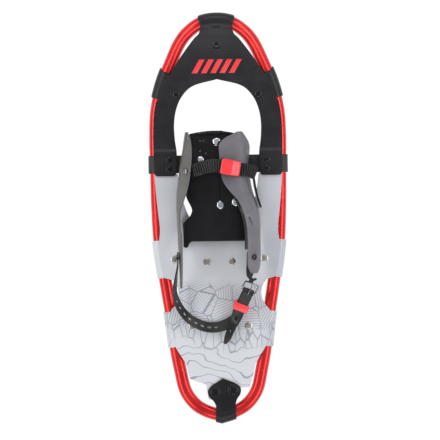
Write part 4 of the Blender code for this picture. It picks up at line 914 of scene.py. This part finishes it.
def makeFootbed():
    left = binding["x"] - binding["half"]
    right = binding["x"] + binding["half"]
    front, rear = binding["front"], binding["rear"]
    notch = smoothFlat([(left, -0.006), (left + 0.012, 0.008), (left + 0.014, 0.016), (left + 0.006, 0.034),
                        (left + 0.004, 0.045)], 5)
    outline = [(left, rear - 0.008), (left + 0.003, rear - 0.0098), (left + 0.006, rear - 0.0096)]
    outline += smoothFlat([(left + 0.008, rear - 0.007), (left + 0.0095, rear - 0.003),
            (left + 0.013, rear)], 3)
    outline += smoothFlat([(right - 0.004, rear), (right - 0.0008, rear + 0.0014), (right, rear + 0.005)],
                          3)
    outline += [(right - 0.002, 0.06)]
    outline += smoothFlat([(right - 0.002, front - 0.018), (right - 0.0035, front - 0.0105),
            (right - 0.008, front - 0.005)], 3)
    outline += smoothFlat([(binding["x"] + 0.024, front - 0.001), (binding["x"] + 0.01, front + 0.001),
                           (binding["x"] - 0.008, front + 0.001), (binding["x"] - 0.026, front - 0.001)], 4)
    outline += smoothFlat([(left + 0.013, front - 0.003), (left + 0.01, front - 0.006),
            (left + 0.009, front - 0.012)], 3)
    outline += [(left + 0.006, 0.07)] + list(reversed(notch))
    bed = slab("bed", outline, [], bedUnder, binding["sheet"], 0.0007)
    # toe pocket, groove and small holes are cut into it
    pocket = block("pocket", (0.031, 0.046, 0.003), (-0.0225, 0.109, bedTop + 0.0003), 0.0006)
    groove = slab("groove", smoothFlat([(-0.0004, 0.07), (0.0014, 0.05), (0.001, 0.038), (0.003, 0.0335),
            (0.0058, 0.038), (0.0058, 0.05), (0.005, 0.07)], 4), [], bedTop - 0.0016, 0.004, 0.0003)
    cutters = [pocket, groove]
    cutters += [bore(Matrix.Translation((x, y, bedTop)), 0.002, 0.008) for x, y in footbed["toeHoles"]]
    bed = combined(bed, cutters)
    extras = [chevron(x, y) for x, y in footbed["chevrons"]]
    for x in footbed["ribs"]:
        extras.append(block("rib", (0.0017, 0.0105, 0.002), (x, -0.0055, bedTop), 0.0005))
    for x in (-0.012, -0.004, 0.004, 0.012, 0.02):
        extras.append(block("nib", (0.004, 0.0016, 0.0016), (x, -0.0265, bedTop), 0.0004))
    # a bead round the rim, and the arched bumper at the toe
    inset = []
    for i, (x, y) in enumerate(outline):
        a, b = Vector(outline[i - 1]), Vector(outline[(i + 1) % len(outline)])
        side = (b - a).normalized()
        inset.append(Vector((x, y)) + Vector((-side.y, side.x)) * 0.0016)
    extras.append(wire("bead", [(p.x, p.y, bedTop - 0.0002) for p in inset], 0.001, 3, True))
    arch = [(-0.034, front - 0.004, bedTop), (-0.031, front - 0.003, bedTop + 0.0025),
            (-0.026, front - 0.003, bedTop + 0.0048), (-0.015, front - 0.002, bedTop + 0.0052),
            (0.0, front - 0.0018, bedTop + 0.0052), (0.014, front - 0.0022, bedTop + 0.005),
            (0.022, front - 0.0035, bedTop + 0.003), (0.026, front - 0.005, bedTop)]
    rows = [[p + Vector((0, 0, -0.002)), p] for p in smoothPath(arch, 4)]
    extras.append(sheet("bumper", rows, 0.0028, 0.0008))
    pad = smoothFlat([(-0.018, front + 0.0004), (-0.012, front + 0.0009), (0.0, front + 0.0009),
            (0.008, front + 0.0004), (0.004, front - 0.004), (-0.014, front - 0.004)], 4)
    extras.append(slab("pad", pad, [], bedTop + 0.0002, 0.0056, 0.0008))
    whole = joined("bed", [bed] + extras)
    dress(whole, "footbedMoulding", "mouldBlack", "binding", "black_polymer", "footbed")


makeFootbed()
print("footbed")


# wings are lofted through stations (y, foot, low, bulge, high), each but y an (x, z) pair
pivotY = -0.059
leftEdge = binding["x"] - binding["half"]
rightEdge = binding["x"] + binding["half"]
leftWing = [
    (-0.106, (-0.06, 0.069), (-0.0605, 0.071), (-0.06, 0.074), (-0.059, 0.077)),
    (-0.085, (-0.0605, 0.062), (-0.061, 0.065), (-0.0605, 0.074), (-0.058, 0.082)),
    (pivotY, (-0.061, 0.056), (-0.0615, 0.06), (-0.0615, 0.073), (-0.0575, 0.086)),
    (-0.03, (-0.061, 0.045), (-0.062, 0.049), (-0.063, 0.067), (-0.058, 0.087)),
    (-0.005, (-0.061, 0.0395), (-0.0625, 0.042), (-0.064, 0.063), (-0.0605, 0.086)),
    (0.015, (-0.0605, 0.0385), (-0.0625, 0.041), (-0.0645, 0.062), (-0.059, 0.085)),
    (0.04, (leftEdge + 0.004, flangeZ), (-0.0605, sideZ), (-0.064, 0.06), (-0.0505, 0.083)),
    (0.06, (leftEdge + 0.01, flangeZ), (-0.0595, sideZ), (-0.061, 0.058), (-0.0455, 0.08)),
    (0.079, (leftEdge + 0.011, flangeZ), (-0.058, sideZ), (-0.059, 0.057), (-0.043, 0.078)),
    (0.1, (leftEdge + 0.011, flangeZ), (-0.0555, sideZ), (-0.055, 0.056), (-0.041, 0.073)),
    (0.123, (-0.052, 0.039), (-0.0525, 0.042), (-0.05, 0.055), (-0.0425, 0.065)),
    (0.137, (-0.05, 0.046), (-0.05, 0.048), (-0.0488, 0.051), (-0.047, 0.054)),
]
rightWing = [
    (-0.084, (0.0585, 0.052), (0.058, 0.055), (0.055, 0.066), (0.0485, 0.074)),
    (-0.075, (0.062, 0.048), (0.0615, 0.051), (0.0575, 0.068), (0.0445, 0.078)),
    (pivotY, (0.0635, 0.043), (0.063, 0.046), (0.059, 0.069), (0.044, 0.081)),
    (-0.03, (0.063, 0.041), (0.0635, 0.044), (0.06, 0.067), (0.044, 0.081)),
    (-0.005, (0.0615, 0.0385), (0.0635, 0.041), (0.06, 0.065), (0.042, 0.079)),
    (0.015, (0.056, 0.0385), (0.0605, 0.041), (0.056, 0.064), (0.0365, 0.077)),
    (0.03, (rightEdge - 0.006, flangeZ), (0.0565, sideZ), (0.051, 0.063), (0.0295, 0.075)),
    (0.045, (rightEdge - 0.012, flangeZ), (0.052, sideZ), (0.044, 0.062), (0.0165, 0.072)),
    (0.06, (rightEdge - 0.016, flangeZ), (0.049, sideZ), (0.04, 0.061), (0.007, 0.069)),
    (0.08, (rightEdge - 0.016, flangeZ), (0.0475, sideZ), (0.037, 0.06), (0.003, 0.066)),
    (0.1, (rightEdge - 0.014, flangeZ), (0.0475, sideZ), (0.038, 0.058), (0.002, 0.063)),
    (0.117, (0.0475, 0.0395), (0.048, 0.042), (0.037, 0.058), (0.002, 0.06)),
    (0.126, (0.0445, 0.043), (0.044, 0.046), (0.035, 0.055), (0.01, 0.059)),
    (0.137, (0.037, 0.05), (0.0365, 0.051), (0.034, 0.053), (0.031, 0.055)),
]
rightLiner = [
    (0.018, (0.0655, 0.039), (0.066, 0.041), (0.0665, 0.046), (0.066, 0.051)),
    (0.04, (0.0585, 0.039), (0.059, 0.041), (0.06, 0.047), (0.0595, 0.052)),
    (0.065, (0.0545, 0.039), (0.055, 0.041), (0.056, 0.047), (0.055, 0.052)),
    (0.096, (0.054, 0.039), (0.0545, 0.041), (0.0545, 0.045), (0.054, 0.049)),
]


def wingShell(stations, cutters=()):
    rows = []
    for y, foot, low, bulge, high in stations:
        foot, low, bulge, high = (Vector((x, y, z)) for x, z in (foot, low, bulge, high))
        rows.append([foot] + smoothPath([low, bulge, high], 5))
    lanes = [smoothPath(lane, 5) for lane in zip(*rows)]
    shell = sheet("wing", list(zip(*lanes)), binding["wing"], 0.0007)
    return combined(shell, list(cutters)) if cutters else shell


def facing(spot, normal):
    turn = Vector((0, 0, 1)).rotation_difference(Vector(normal)).to_matrix().to_4x4()
    return Matrix.Translation(spot) @ turn


pivotBore = 0.0022
leftPivot = Matrix.Translation((-0.063, pivotY, 0.073)) @ Matrix.Rotation(-math.pi / 2, 4, "Y")
rightPivot = facing((0.0532, pivotY, 0.0746), (0.62, 0, 0.78))
ladderRivet = facing((-0.05, 0.0752, 0.0722), (-0.74, 0, 0.67))


def makeWings():
    tipHole = bore(facing((-0.0468, 0.128, 0.0575), (-0.75, 0, 0.65)), 0.0022)
    left = wingShell(leftWing, [tipHole, bore(leftPivot, pivotBore), bore(ladderRivet, pivotBore)])
    dress(left, "leftWingShell", "wingGreyPaintedShade", "binding", "wing_grey", "left_wing")
    slitPath = smoothFlat([(0.0445, 0.006), (0.0475, -0.001), (0.0515, -0.01), (0.0545, -0.018),
            (0.0568, -0.0195), (0.0552, -0.013), (0.0512, -0.003), (0.0475, 0.004)], 3)
    slit = slab("slit", slitPath, [], 0.05, 0.045, 0.0003)
    right = wingShell(rightWing, [bore(rightPivot, pivotBore), slit])
    dress(right, "rightWingShell", "wingGreyPaintedLight", "binding", "wing_grey", "right_wing")
    dress(wingShell(rightLiner), "rightLinerShell", "mouldBlack", "binding", "black_polymer", "right_liner")
    for matrix, profile, name, node, finish in (
        (leftPivot, domeProfile(0.0048, 0.0034, -0.0042), "leftHeelPivot", "heel_pivot_left", "blackDome"),
        (rightPivot, domeProfile(0.0048, 0.0022, -0.006), "rightHeelPivot", "heel_pivot_right",
         "blackDome"),
        (ladderRivet, domeProfile(0.005, 0.0022, -0.008), "ladderRivet", "ladder_rivet", "buckleSteel"),
    ):
        dress(turned("dome", profile, matrix), name, finish, "binding", "bright_rivet", node)


makeWings()
print("wings")


# the ladder strap and the buckle are laid out on the buckle's own axes
mount = Matrix.Translation((0.017, 0.0805, 0.069)) @ Matrix.Rotation(math.radians(-10), 4, "Z")
mount = mount @ Matrix.Rotation(math.radians(10), 4, "Y")
buckle = {"length": 0.03, "wall": 0.0016, "pin": (0.0085, 0.0086), "pinRadius": 0.0012,
          "leverUnder": 0.0118,
          "leverSheet": 0.002, "sideHalf": 0.01085}
ladder = {"width": 0.0205, "sheet": 0.0025, "pitch": 0.0037, "ribHigh": 0.0009, "margin": 0.0012}
ladderW = buckle["wall"] + gap * 2 + ladder["sheet"] / 2


def ladderRib(run, across):
    # saw-toothed ribs, left off the strap's plain first stretch
    if abs(across) > ladder["width"] / 2 - ladder["margin"] or run < 0.014:
        return 0.0
    share = (run / ladder["pitch"]) % 1.0
    rise = share / 0.35 if share < 0.6 else 1.0 - (share - 0.6) / 0.12
    return ladder["ribHigh"] * max(-0.6, min(rise, 1.0))


def makeLadderStrap():
    across = mount.to_3x3() @ Vector((0, 1, 0))
    start = Vector((0.05, 1, 0.05))
    stations = [(Vector((-0.05, 0.0742, 0.0638)), start), (Vector((-0.0454, 0.075, 0.0688)), start),
            (Vector((-0.0385, 0.0765, 0.074)), start), (Vector((-0.028, 0.0795, 0.078)),
            Vector((0.1, 1, 0))), (Vector((-0.016, 0.0825, 0.0775)), across)]
    stations += [(mount @ Vector((x, 0, ladderW)), across) for x in (-0.0185, -0.006, 0.006, 0.0185)]
    stations += [(Vector((0.048, 0.0755, 0.0655)), across), (Vector((0.059, 0.0705, 0.0615)), across)]
    path, turns = evenly(*alongPath(stations, 8), 0.00037)
    section = strapSection(ladder["width"], ladder["sheet"] - 0.0008, 0.0005, 8)
    strap = strapAlong("ladder", path, [-a for a in turns], section, ladderRib)
    dress(strap, "ladderStrapRibbed", "ribBlack", "binding", "ladder_black", "ladder_strap", angle=30)


def upright(made):
    return moved(made, Matrix.Rotation(math.pi / 2, 4, "X"))


def eyeOutline(arm):
    pinX, pinW = buckle["pin"]
    turns = [math.radians(a) for a in range(-150, 91, 12)]
    return [(pinX + 0.0027 * math.cos(a), pinW + 0.0027 * math.sin(a)) for a in turns] + arm


def makeBuckle():
    half = buckle["length"] / 2
    wall = buckle["wall"]
    sideHalf = buckle["sideHalf"]
    pinX, pinW = buckle["pin"]
    clear = buckle["pinRadius"] + 0.0003
    base = [block("base", (buckle["length"], 2 * (sideHalf + wall), wall), (0, 0, wall / 2), 0.0005)]
    for side in (-1, 1):
        outline = [(-half + 0.001, 0.0006), (half - 0.001, 0.0006), (half - 0.001, 0.0085),
                (pinX + 0.001, 0.0109), (pinX - 0.003, 0.0109), (-half + 0.001, 0.006)]
        cheek = upright(slab("cheek", outline, [(pinX, pinW, clear)], -wall / 2, wall, 0.0003))
        base.append(moved(cheek, Matrix.Translation((0, side * (sideHalf + wall / 2), 0))))
    base = moved(joined("base", base), mount)
    dress(base, "buckleBaseMoulding", "mouldBlack", "binding", "black_polymer", "buckle_base")

    # the lever: a crowned top with a bright ramp past its crease, a thumb lip and fine grip lines
    leverHalf = half - 0.0005
    wide = sideHalf + wall - 0.001
    under = buckle["leverUnder"]
    rows = []
    stations = [(-leverHalf, -0.0012, 0.9), (-leverHalf + 0.0012, -0.0004, 0.955),
            (-leverHalf + 0.003, 0.0, 0.985), (-0.006, 0.0002, 1.0), (0.0015, 0.0003, 1.0),
            (0.0022, 0.0002, 1.0), (0.003, -0.0002, 1.0), (0.008, -0.001, 0.995),
            (leverHalf - 0.003, -0.0018, 0.975), (leverHalf - 0.001, -0.0024, 0.935),
            (leverHalf, -0.0032, 0.87)]
    for x, drop, size in stations:
        row = []
        for j in range(13):
            v = -1 + j / 6
            crown = 0.0004 * (1 - v * v) - 0.001 * max(abs(v) - 0.9, 0) / 0.1
            row.append(Vector((x, wide * size * v, under + buckle["leverSheet"] + drop + crown)))
        rows.append(row)
    lever = [sheet("cap", rows, buckle["leverSheet"] - 0.0003, 0.0005, -1.0)]
    for i in range(5):
        lever.append(block("grip", (0.0005, 2 * wide * 0.8, 0.0005),
                           (0.005 + 0.0017 * i, 0,
                            under + buckle["leverSheet"] - 0.0004 - 0.0002 * i), 0.0002, 1))
    for side in (-1, 1):
        arm = [(pinX, under + 0.001), (pinX - 0.004, under + 0.001), (pinX - 0.0035, pinW)]
        eye = upright(slab("eye", eyeOutline(arm), [(pinX, pinW, clear)], -0.0015, 0.003, 0.0003))
        lever.append(moved(eye, Matrix.Translation((0, side * (sideHalf - 0.0024), 0))))
    lever = moved(joined("lever", lever), mount)
    dress(lever, "buckleLeverMoulding", "redMould", "lever", "red_polymer", "buckle_lever", angle=24)

    arm = [(pinX - 0.009, pinW - 0.001), (pinX - 0.0115, ladderW + ladder["sheet"] / 2 + 0.0006),
           (pinX - 0.0085, pinW - 0.0032)]
    pawl = upright(slab("pawl", eyeOutline(arm), [(pinX, pinW, clear)], -0.005, 0.01, 0.0003))
    dress(moved(pawl, mount), "bucklePawl", "buckleSteel", "pawl", "steel", "buckle_pawl")

    long = sideHalf + wall + 0.0002
    radius = buckle["pinRadius"]
    profile = [(0, long), (radius - 0.0003, long), (radius, long - 0.0003), (radius, -long + 0.0003),
               (radius - 0.0003, -long), (0, -long)]
    matrix = mount @ Matrix.Translation((pinX, 0, pinW)) @ Matrix.Rotation(math.pi / 2, 4, "X")
    dress(turned("pin", profile, matrix, 24), "bucklePinSteel", "buckleSteel", "binding", "steel",
          "buckle_pin")

    foot = -0.007
    profile = [(0.0, wall), (0.0019, wall), (0.0019, foot), (0.004, foot), (0.0037, foot - 0.0009),
               (0.0028, foot - 0.0012), (0.0, foot - 0.0012)]
    dress(turned("rivet", profile, mount @ Matrix.Translation((-0.003, 0, 0))), "buckleFootRivet",
          "brightDome",
          "binding", "steel", "buckle_rivet")


makeLadderStrap()
makeBuckle()
print("ladder strap and buckle")


# the heel strap has a wire buckle and a keeper
heel = {"width": 0.0168, "sheet": 0.0022, "roller": 0.0024, "wire": 0.0013, "frame": 0.015,
        "rollerAt": (0.044, -0.113, 0.06), "pull": (-0.42, -0.86, -0.28),
        "holeLong": 0.0032, "holeWide": 0.0021, "holePitch": 0.0115, "firstHole": 0.046,
        "endHole": 0.022, "tipLean": 64}
rollerAt = Vector(heel["rollerAt"])
pull = Vector(heel["pull"]).normalized()
sideways = pull.cross(Vector((0.25, 0.05, 1))).normalized()
strapUp = sideways.cross(pull).normalized()
if strapUp.z < 0:
    strapUp = -strapUp
layer = heel["roller"] + 0.0004 + heel["sheet"] / 2
broad = strapUp.cross(pull)


def strapSpot(along, up):
    return rollerAt + pull * along + strapUp * up


def strapAxes(along):
    turn = Matrix((pull, broad, strapUp)).transposed().to_4x4()
    return Matrix.Translation(strapSpot(along, 0)) @ turn


def heelStations():
    up = Vector((0, 0, 1))
    stations = [
        (Vector((-0.0648, pivotY + 0.008, 0.075)), up), (Vector((-0.065, pivotY - 0.01, 0.0715)), up),
        (Vector((-0.068, -0.089, 0.065)), Vector((-0.1, 0.1, 1))),
        (Vector((-0.0705, -0.113, 0.058)), Vector((-0.35, 0.1, 0.95))),
        (Vector((-0.064, -0.135, 0.051)), Vector((-0.6, -0.1, 0.8))),
        (Vector((-0.048, -0.155, 0.0455)), Vector((-0.55, -0.6, 0.55))),
        (Vector((-0.022, -0.168, 0.043)), Vector((-0.2, -0.9, 0.32))),
        (Vector((0.002, -0.167, 0.042)), Vector((0.15, -0.93, 0.25))),
        (strapSpot(0.05, -layer) + Vector((0.0015, 0, 0)), broad.lerp(Vector((0.4, -0.9, 0.1)), 0.3)),
        (strapSpot(0.036, -layer), broad), (strapSpot(0.018, -layer), broad),
        (strapSpot(0.005, -layer), broad),
    ]
    for degrees in (-90, -130, -180, -230, -270):
        a = math.radians(degrees)
        stations.append((strapSpot(layer * math.cos(a), layer * math.sin(a)), broad))
    stations += [(strapSpot(x, layer), broad) for x in (0.005, 0.018, 0.036)]
    # past the keeper the free end leans on edge
    for x, lift, share in ((0.048, 0.0004, 0.45), (0.06, 0.0024, 1.0), (0.076, 0.0042, 1.0),
            (0.0915, 0.005, 1.0)):
        lean = Matrix.Rotation(math.radians(heel["tipLean"] * share), 3, pull)
        stations.append((strapSpot(x, layer + lift), lean @ broad))
    return stations


def makeHeelStrap():
    path, turns = evenly(*alongPath(heelStations(), 8), 0.0016)
    runs = runLengths(path)
    whole = runs[-1]

    def tip(run):
        left = max(whole - run, 0.0)
        return min(1.0, 0.1 + (left / 0.016) ** 0.6) if left < 0.016 else 1.0

    section = strapSection(heel["width"], heel["sheet"], 0.0006, 6)
    strap = strapAlong("strap", path, turns, section, None, tip)
    # sizing holes along the run behind the heel, and on the free end
    holes = []
    spots = [heel["firstHole"] + heel["holePitch"] * i for i in range(11)]
    spots += [whole - heel["endHole"] - heel["holePitch"] * i for i in range(3)]
    for want in spots:
        i = min(range(len(runs)), key=lambda k: abs(runs[k] - want))
        ahead = (path[i + 1] - path[i - 1]).normalized()
        wide = (turns[i] - ahead * turns[i].dot(ahead)).normalized()
        normal = wide.cross(ahead)
        axes = Matrix((ahead, wide, normal)).transposed().to_4x4()
        if axes.determinant() < 0:
            axes = Matrix((ahead, -wide, normal)).transposed().to_4x4()
        hole = bore(Matrix.Identity(4), 1.0, 0.004)
        hole.data.transform(Matrix.Diagonal((heel["holeLong"], heel["holeWide"], 1.0, 1.0)))
        holes.append(moved(hole, Matrix.Translation(path[i]) @ axes))
    strap = combined(strap, [joined("holes", holes), bore(leftPivot, pivotBore)])
    dress(strap, "heelStrapMoulding", "strapDark", "heel_strap_body", "heel_strap", "heel_strap", angle=40)


def makeHeelHardware():
    wingAcross = Vector((-0.78, 0, 0.62))
    stations = [(Vector((0.0482, pivotY + 0.008, 0.0741)), wingAcross),
            (Vector((0.0474, pivotY - 0.01, 0.0731)), wingAcross),
            (Vector((0.0472, -0.086, 0.0678)), wingAcross),
            (strapSpot(-heel["frame"], 0) - pull * 0.0036, broad)]
    path, turns = evenly(*alongPath(stations, 6), 0.0015)
    link = strapAlong("link", path, turns, strapSection(heel["width"] * 0.8, heel["sheet"], 0.0006, 6))
    link = combined(link, [bore(rightPivot, pivotBore)])
    dress(link, "buckleLinkStrap", "strapDark", None, "heel_strap", "buckle_link")
    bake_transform(link)

    half = heel["width"] / 2 + 0.003
    long = heel["frame"]
    radius = 0.0025
    path = []
    for x, y in ((0, half), (0, -half), (-long, -half), (-long, half)):
        inward = Vector((math.copysign(radius, -long / 2 - x), math.copysign(radius, -y)))
        first = math.atan2(-inward.y, -inward.x)
        for step in (45, 30, 15, 0, -15, -30, -45):
            a = first + math.radians(step)
            path.append(Vector((x, y)) + inward + radius * Vector((math.cos(a), math.sin(a))))
    loop = wire("loop", [(p.x, p.y, 0) for p in path], heel["wire"], 5, True)
    dress(moved(loop, strapAxes(0)), "heelBuckleLoop", "buckleSteel", "heel_strap_body", "steel",
          "heel_buckle_frame")

    half = heel["width"] / 2 - 0.0005
    inner = heel["wire"] + 0.0003
    out = heel["roller"]
    profile = [(inner, half), (out - 0.0003, half), (out, half - 0.0003), (out, -half + 0.0003),
               (out - 0.0003, -half),
               (inner, -half), (inner, half)]
    roller = turned("roller", profile, strapAxes(0) @ Matrix.Rotation(math.pi / 2, 4, "X"), 28)
    dress(roller, "heelBuckleRoller", "buckleSteel", "heel_strap_body", "steel", "heel_buckle_roller")

    radius = 0.0009
    hook = heel["wire"] + 0.0003 + radius
    turns = [math.radians(a) for a in range(-150, 91, 15)]
    path = [(-long - hook * math.cos(a), 0, hook * math.sin(a)) for a in turns]
    tip = layer + heel["sheet"] / 2 + 0.0004 + radius
    path += [(-0.01, 0, tip - 0.0004), (-0.006, 0, tip), (0.0022, 0, tip), (0.003, 0, tip)]
    prong = moved(wire("prong", path, radius, 4), strapAxes(0))
    dress(prong, "heelBuckleProng", "buckleSteel", "prong", "steel", "heel_buckle_prong")


def makeKeeper():
    innerHalf = heel["width"] / 2 + 0.0006
    innerHigh = layer + heel["sheet"] / 2 + 0.0005
    wall = 0.0022
    body = block("keeper", (0.0125, 2 * (innerHalf + wall), 2 * (innerHigh + wall)), (0, 0, 0), 0.0014, 4)
    hole = block("hole", (0.03, 2 * innerHalf, 2 * innerHigh), (0, 0, 0), 0.0008)
    body = combined(body, [hole])
    ridges = [block("ridge", (0.0011, 2 * innerHalf - 0.003, 0.0011), (x, 0, innerHigh + wall), 0.0004,
                    2) for x in
              (-0.0036, 0.0, 0.0036)]
    ridges += [block("ear", (0.007, 0.0016, 2 * innerHigh), (0, side * (innerHalf + wall), 0), 0.0006,
                     2) for side in (-1, 1)]
    keeper = moved(joined("keeper", [body] + ridges), strapAxes(0.027))
    dress(keeper, "heelKeeperMoulding", "redMould", "keeper", "red_polymer", "heel_keeper")


def makeInnerStrap():
    side = Vector((-0.2, 0, 1))
    stations = [(Vector((0.0275, 0.03, 0.07)), side), (Vector((0.035, 0.013, 0.0725)), side),
                (Vector((0.0398, -0.006, 0.0745)), side), (Vector((0.0418, -0.028, 0.0765)), side),
                (Vector((0.0416, -0.047, 0.0765)), side)]
    path, turns = evenly(*alongPath(stations, 6), 0.0015)
    strap = strapAlong("inner", path, turns, strapSection(0.012, heel["sheet"], 0.0006, 6))
    dress(strap, "innerStrap", "strapDark", "binding", "black_polymer", "right_inner_strap")


makeHeelStrap()
makeHeelHardware()
makeKeeper()
makeInnerStrap()
print("heel strap")


# CAD solids that stay as they are, with a real finish
for node, finish in (("heel_crampon", "steelPlate"), ("toe_crampon", "steelPlate"),
        ("tail_splice", "steelPlate"), ("cord_clamp", "mouldBlack"), ("tail_clip_plate", "mouldBlack")):
    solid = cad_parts[node]
    solid.data.materials.clear()
    solid.data.materials.append(finishes[finish])
print("carried-over solids")


studio = {"floor": 6.0, "camera": 3.0, "lens": 156.0, "aim": (0.0017, -0.0008, 0.03), "roll": -0.83,
          "side": 14.0, "end": 7.0, "sky": 0.42}


def makeStudio():
    half = studio["floor"] / 2
    work = bmesh.new()
    bmesh.ops.create_grid(work, x_segments=8, y_segments=8, size=half)
    floor = fromMesh("floor", work)
    settings = {"Roughness": 0.9, "Specular IOR Level": 0.0, "Emission Strength": 1.0}
    material, start, feed = newMaterial("paleFloor", settings)
    cloud = noise(start, place(start), 2.0)
    feed("Base Color", blendColour(start, cloud * 0.1, (0.03, 0.03, 0.03, 1), (0.02, 0.02, 0.02, 1)))
    feed("Emission Color", blendColour(start, cloud * 0.1, (1.0, 1.0, 1.0, 1), (0.98, 0.98, 0.99, 1)))
    floor.data.materials.append(material)
    floor.location.z = -0.0005
    world = bpy.data.worlds.new("studioSky")
    world.use_nodes = True
    sky = world.node_tree.nodes["Background"]
    sky.inputs["Color"].default_value = (1, 1, 1, 1)
    sky.inputs["Strength"].default_value = studio["sky"]
    bpy.context.scene.world = world
    lamps = [
        ("leftLight", (-1.25, 0.0, 1.0), (2.4, 0.5), studio["side"]),
        ("rightLight", (1.25, 0.0, 1.0), (2.4, 0.5), studio["side"]),
        ("noseLight", (0.0, 1.5, 1.1), (1.4, 0.5), studio["end"]),
        ("tailLight", (0.0, -1.5, 1.1), (1.4, 0.5), studio["end"]),
    ]
    for name, spot, size, power in lamps:
        lamp = bpy.data.lights.new(name, "AREA")
        lamp.shape = "RECTANGLE"
        lamp.size, lamp.size_y = size
        lamp.energy = power
        holder = bpy.data.objects.new(name, lamp)
        bpy.context.scene.collection.objects.link(holder)
        holder.location = spot
        holder.rotation_euler = (Vector((0, 0, 0)) - Vector(spot)).to_track_quat("-Z", "Y").to_euler()
    bpy.context.scene.view_settings.view_transform = "Standard"
    camera = bpy.data.cameras.new("camera")
    camera.sensor_width = 36
    camera.lens = studio["lens"]
    camera.clip_end = 20
    holder = bpy.data.objects.new("camera", camera)
    bpy.context.scene.collection.objects.link(holder)
    holder.location = Vector(studio["aim"]) + Vector((0, 0, studio["camera"]))
    holder.rotation_euler = (0, 0, math.radians(studio["roll"]))
    bpy.context.scene.camera = holder


makeStudio()
print("studio")
